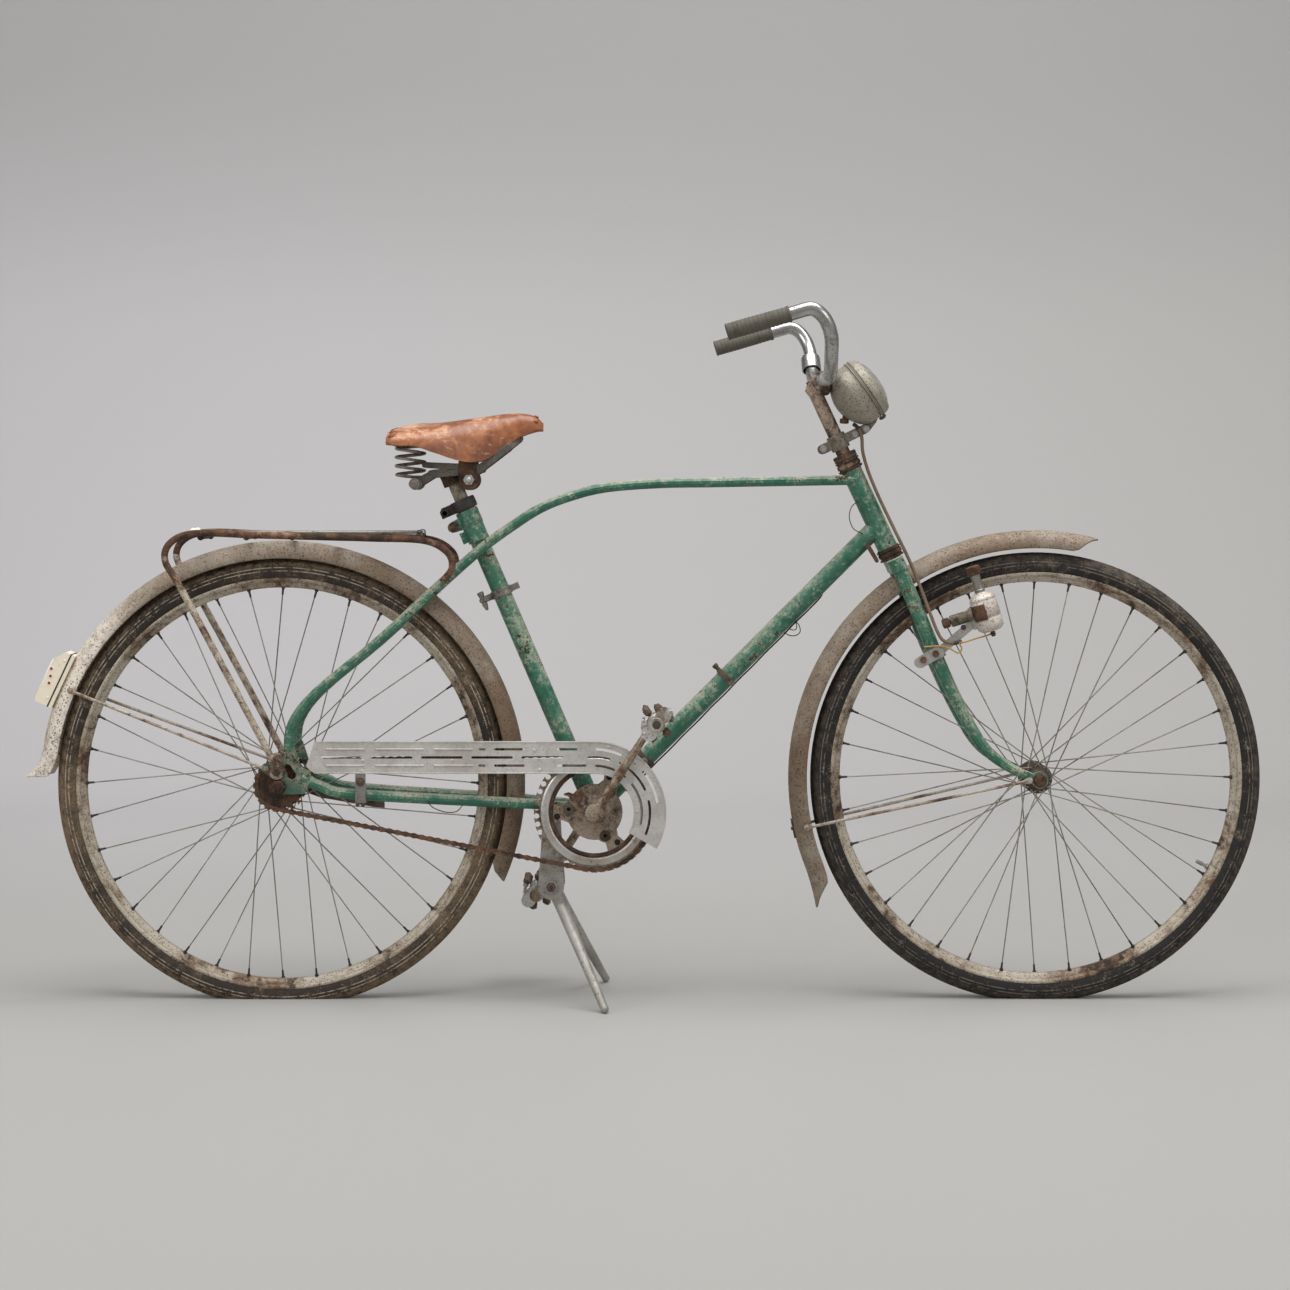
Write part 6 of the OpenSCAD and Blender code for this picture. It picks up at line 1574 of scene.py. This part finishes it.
def buildDynamo():
    body = [(4, 240.5), (12, 240.5), (15, 241.4), (19.4, 244.6), (20.7, 248), (r, 250), (r, 261), (20.3, 261.6),
            (20.3, 263.2), (r, 263.8), (r, 288), (20.3, 288.8), (20.3, 290), (20.8, 291), (20.2, 293.6), (17, 297),
            (12, 299.6), (9, 301.6), (7.2, 303)]
    make("dynamoBody", lathe(body, dynamoFoot, dynamoUp, 40), "steering", dynamoWhite, ["dynamo"],
         angle=55)
    neck = [(7.2, 302), (8.2, 303.4), (8.2, 306), (6.9, 307.5), (6.9, 322), (7.6, 323), (7.6, 328), (8.8, 330.2)]
    make("dynamoNeck", lathe(neck, dynamoFoot, dynamoUp, 28), "steering", greySteel)
    turn = np.arange(44) * 2 * np.pi / 44
    knurl = np.where(np.arange(44) % 2, 10.2, 11.0)
    rings = [byDynamo(s * k * np.cos(turn), s * k * np.sin(turn), h + 0 * turn) for s, k, h in
             ((0.86, knurl, 329.8), (1, knurl, 331), (1, knurl, 342.8), (0.84, knurl, 344), (0.3, knurl, 344.2))]
    make("dynamoRoller", loft(rings), "steering", clampRust, angle=20)
    post = [lathe([(3, 231.6), (3, 241)], dynamoFoot, dynamoUp, 16), hexNut(byDynamo(0, 0, 233.4), dynamoUp, 7.6, 3),
            ringNut(byDynamo(0, 0, 236.8), dynamoUp, 4.6, 2.8, 1.2, 16)]
    make("dynamoTerminal", joined(post), "steering", blackSteel)
    phi = np.radians(np.linspace(-70, 84, 26))
    arc = byDynamo((r + 0.9) * np.cos(phi), -(r + 0.9) * np.sin(phi), 273 + 0 * phi)
    band = carried([(-12, -0.7), (12, -0.7), (12, 0.7), (-12, 0.7)], arc, ref=dynamoUp)
    make("dynamoBand", band, "steering", brownRust)
    hinge = lathe([(7, 0), (9.2, 1), (9.2, 9), (8.4, 9.6), (8.4, 11), (9.2, 11.6), (9.2, 33), (8, 35)],
                  byDynamo(22, -3, 273), dynamoBack, 28)
    make("dynamoHinge", hinge, "steering", hingeSteel)
    thumb = [lathe([(3.4, -2), (3.4, 1), (7.2, 2), (7.8, 4), (7.8, 11), (6.4, 13), (2, 13.6)], byDynamo(57, -3, 273),
                   dynamoBack, 11)]
    thumb += [hexNut(offset(frontAxle, x, -56.6, z), rightWay, 9.6, 4.6) for x, z in ((-179, 185), (-160, 194.6))]
    make("dynamoBolts", joined(thumb), "steering", clampRust, angle=25)
    plate = strap(offset(frontAxle, -184, -55.4, 181), offset(frontAxle, -155, -55.4, 197), 9, 9, 2.4, rightWay)
    make("dynamoClampPlate", plate, "steering", alloyRough)
    make("dynamoBladeRivet", domed(offset(frontAxle, -117, -52, 234.6), rightWay, 4.2, 2.2), "steering", blackSteel)
    ochre = np.array([[-178, -57, 205], [-153, -58, 206], [-140, -62, 203], [-126, -63, 196], [-121, -63, 203],
                      [-124, -62, 211], [-115, -64, 213], [-98, -60, 218], [-81, -52, 222], [-74, -48, 224.5],
                      [-70.5, -48, 227]])
    make("dynamoWire", tube(smoothPath(frontAxle + ochre * mm, 8), 1.3, 8, ref=(0.2, 1, 0.3)), "steering", wireYellow)


def buildLampCable():
    # the points are ahead, left and up in the steering's own frame
    cable = np.array([[33, -5, 205], [36, -10, 198], [37, -11.5, 190], [34, -12, 178], [27, -13, 160], [22, -14, 130],
                      [20, -15, 90], [20, -18, 50], [20, -26, 15], [20, -32, -20], [18, -37, -60], [14, -46, -100],
                      [11, -54, -135], [13, -58, -152], [24, -60, -162], [38, -59, -166]])
    line = smoothPath(headLow + (cable[:, :1] * steerFwd + cable[:, 2:] * steerUp + cable[:, 1:2] * [0, 1, 0]) * mm, 9)
    cableObj = make("lampConduit", tube(line, 2.6, 12, ref=(0.1, 1, 0.1)), "steering", conduit, ["lamp_cable"])
    ends = [tube(line[:14], 3.1, 12, ref=(0.1, 1, 0.1)), tube(line[-9:], 3.1, 12, ref=(0.1, 1, 0.1))]
    make("lampConduitEnds", joined(ends), "steering", wireBlack)


b = math.radians(small["lampTurn"])
lampOut = np.array([math.cos(b), 0, math.sin(b)])
lampDown = np.array([-math.sin(b), 0, math.cos(b)])


def byTail(out, down, side):
    return rearAxle + (out * lampOut + down * lampDown) * mm + np.array([0, side * mm, 0])


def buildTailLamp():
    lens = [(-26, -17), (-22, -20), (40, -20), (43, -17), (43, 17), (40, 20), (-22, 20), (-26, 17)]
    make("tailLens", slab(lens, byTail(small["lampOut"] + 1.2, 0, 0), lampDown, leftWay, 3.4, 1.2), "frame", paleLens)
    edge = [(-27.4, -21), (44, -21), (44, 21), (-27.4, 21)]
    make("tailLensFrame", slab(edge, byTail(small["lampOut"] + 0.2, 0, 0), lampDown, leftWay, 1.6, 0.5), "frame", cream)
    gasket = [(-44.6, -22.8), (44.6, -22.8), (44.6, 22.8), (-44.6, 22.8)]
    make("tailGasket", slab(gasket, byTail(small["fenderR"] + 2.6, 0, 0), lampDown, leftWay, 2.2, 0.4), "frame",
         wireBlack)
    dots, seats = [], []
    for side in (-1, 1):
        out = (0, side, 0)
        for outBy, down in ((397.5, -11.6), (393.9, -0.7), (391.4, 10)):
            dots.append(domed(byTail(outBy, down, side * 21.8), out, 2.4, 1.2))
            seats.append(ringNut(byTail(outBy, down, side * 21.9), out, 3.3, 2.3, 0.7, 18))
        for down in (-34, 34):
            seats.append(domed(byTail(small["fenderR"] + 8, down * 0.92, side * 21.8), out, 2.2, 1.0))
    make("tailDots", joined(dots), "frame", redDot)
    make("tailDotRings", joined(seats), "frame", cream)


tubeLow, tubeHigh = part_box("down_tube")
downWay = unit((np.array((tubeLow + tubeHigh) / 2) - crankCentre) * [1, 0, 1])
downUp = np.array([-downWay[2], 0, downWay[0]])


def buildTailWire():
    # held just under the down tube, both its ends going into the tube
    steps = np.arange(60, 481, 30)
    run = np.column_stack([np.r_[46, 52, steps, 488, 494], np.r_[6, 13, 17.3 + 0.02 * (steps % 60), 13, 6]])
    wireLine = crankCentre + (run[:, :1] * downWay - run[:, 1:] * downUp) * mm + np.array([0, 0.004, 0])
    wireLine = smoothPath(wireLine, 4)
    wire = make("tailWireRun", tube(wireLine, 1.2, 8, ref=(0.1, 1, 0.1)), "frame", wireBlack,
                ["tail_lamp_wire"])


def buildSmallClamps():
    nuts = [hexNut(crankCentre + downWay * 0.108 + np.array([-0.001, -0.0166, 0.001]), rightWay, 9.4, 5.4),
            ringNut(crankCentre + downWay * 0.108 + np.array([-0.001, -0.0160, 0.001]), rightWay, 7.2, 3, 1.2),
            ringNut(crankCentre + downWay * 0.101, downWay, 16.5, 14.5, 14.2, 40),
            ringNut(crankCentre + downWay * 0.284, downWay, 16.4, 14.5, 8.2, 36),
            lathe([(3.4, -1), (3.4, 4), (4.6, 4.6), (4.6, 9), (3.6, 10)],
                  crankCentre + downWay * 0.289 + downUp * 0.0165, downUp, 14)]
    make("downTubeClips", joined(nuts), "frame", darkSteel)
    guardBolts = [domed(at(125, guard["y"] - 0.4, 340), rightWay, 4.6, 2.4),
                  ringNut(at(125, guard["y"] - 0.2, 340), rightWay, 6.8, 4, 1.2)]
    guardBolts += [domed(at(x, guard["y"] - 0.4, 305), rightWay, 3.2, 1.4) for x in (121, 129)]
    make("guardStrapBolts", joined(guardBolts), "frame", darkSteel)
    pivots = []
    for side in (-1, 1):
        out = (0, side, 0)
        pivots += [hexNut(at(small["standX"], side * 36, small["standZ"]), out, 13, 5.6),
                   domed(at(small["standX"], side * 41.4, small["standZ"]), out, 4, 2.4)]
    pivots += [hexNut(offset(rearAxle, 60, 49.6, -22), leftWay, 10, 4),
               hexNut(offset(rearAxle, 146, 49.4, -37), leftWay, 9, 4)]
    make("standNuts", joined(pivots), "frame", clampRust)


def buildLooseWires():
    loops = [[[768, 0, 595], [764, -1, 584], [773, -2, 570], [789, -2, 561], [802, -1, 566], [800, 1, 579],
              [788, 1, 588], [779, 0, 600]],
             [[780, 1, 606], [776, 2, 590], [786, 3, 572], [797, 2, 572], [796, 0, 590], [800, 0, 622]],
             [[905, -9, 775], [884, -11, 764], [878, -12, 746], [884, -12, 728], [896, -12, 721], [902, -10, 718]],
             [[228, -50, 309], [236, -51, 300], [255, -51, 293], [272, -51, 294], [282, -50, 304]]]
    strays = [tube(smoothPath([at(*p) for p in loop], 7), 0.8, 6, ref=(0.1, 1, 0.2)) for loop in loops]
    make("looseWires", joined(strays), "frame", wireBlack)
    tag = [strap(at(906, -18.4, 702), at(920, -18.4, 678), 3.4, 3.2, 1.4, rightWay),
           domed(at(908, -19, 699), rightWay, 2, 1)]
    make("headTubeTag", joined(tag), "frame", steelRust)


buildDynamo()
buildLampCable()
buildTailLamp()
buildTailWire()
buildSmallClamps()
buildLooseWires()
print("small parts ready")
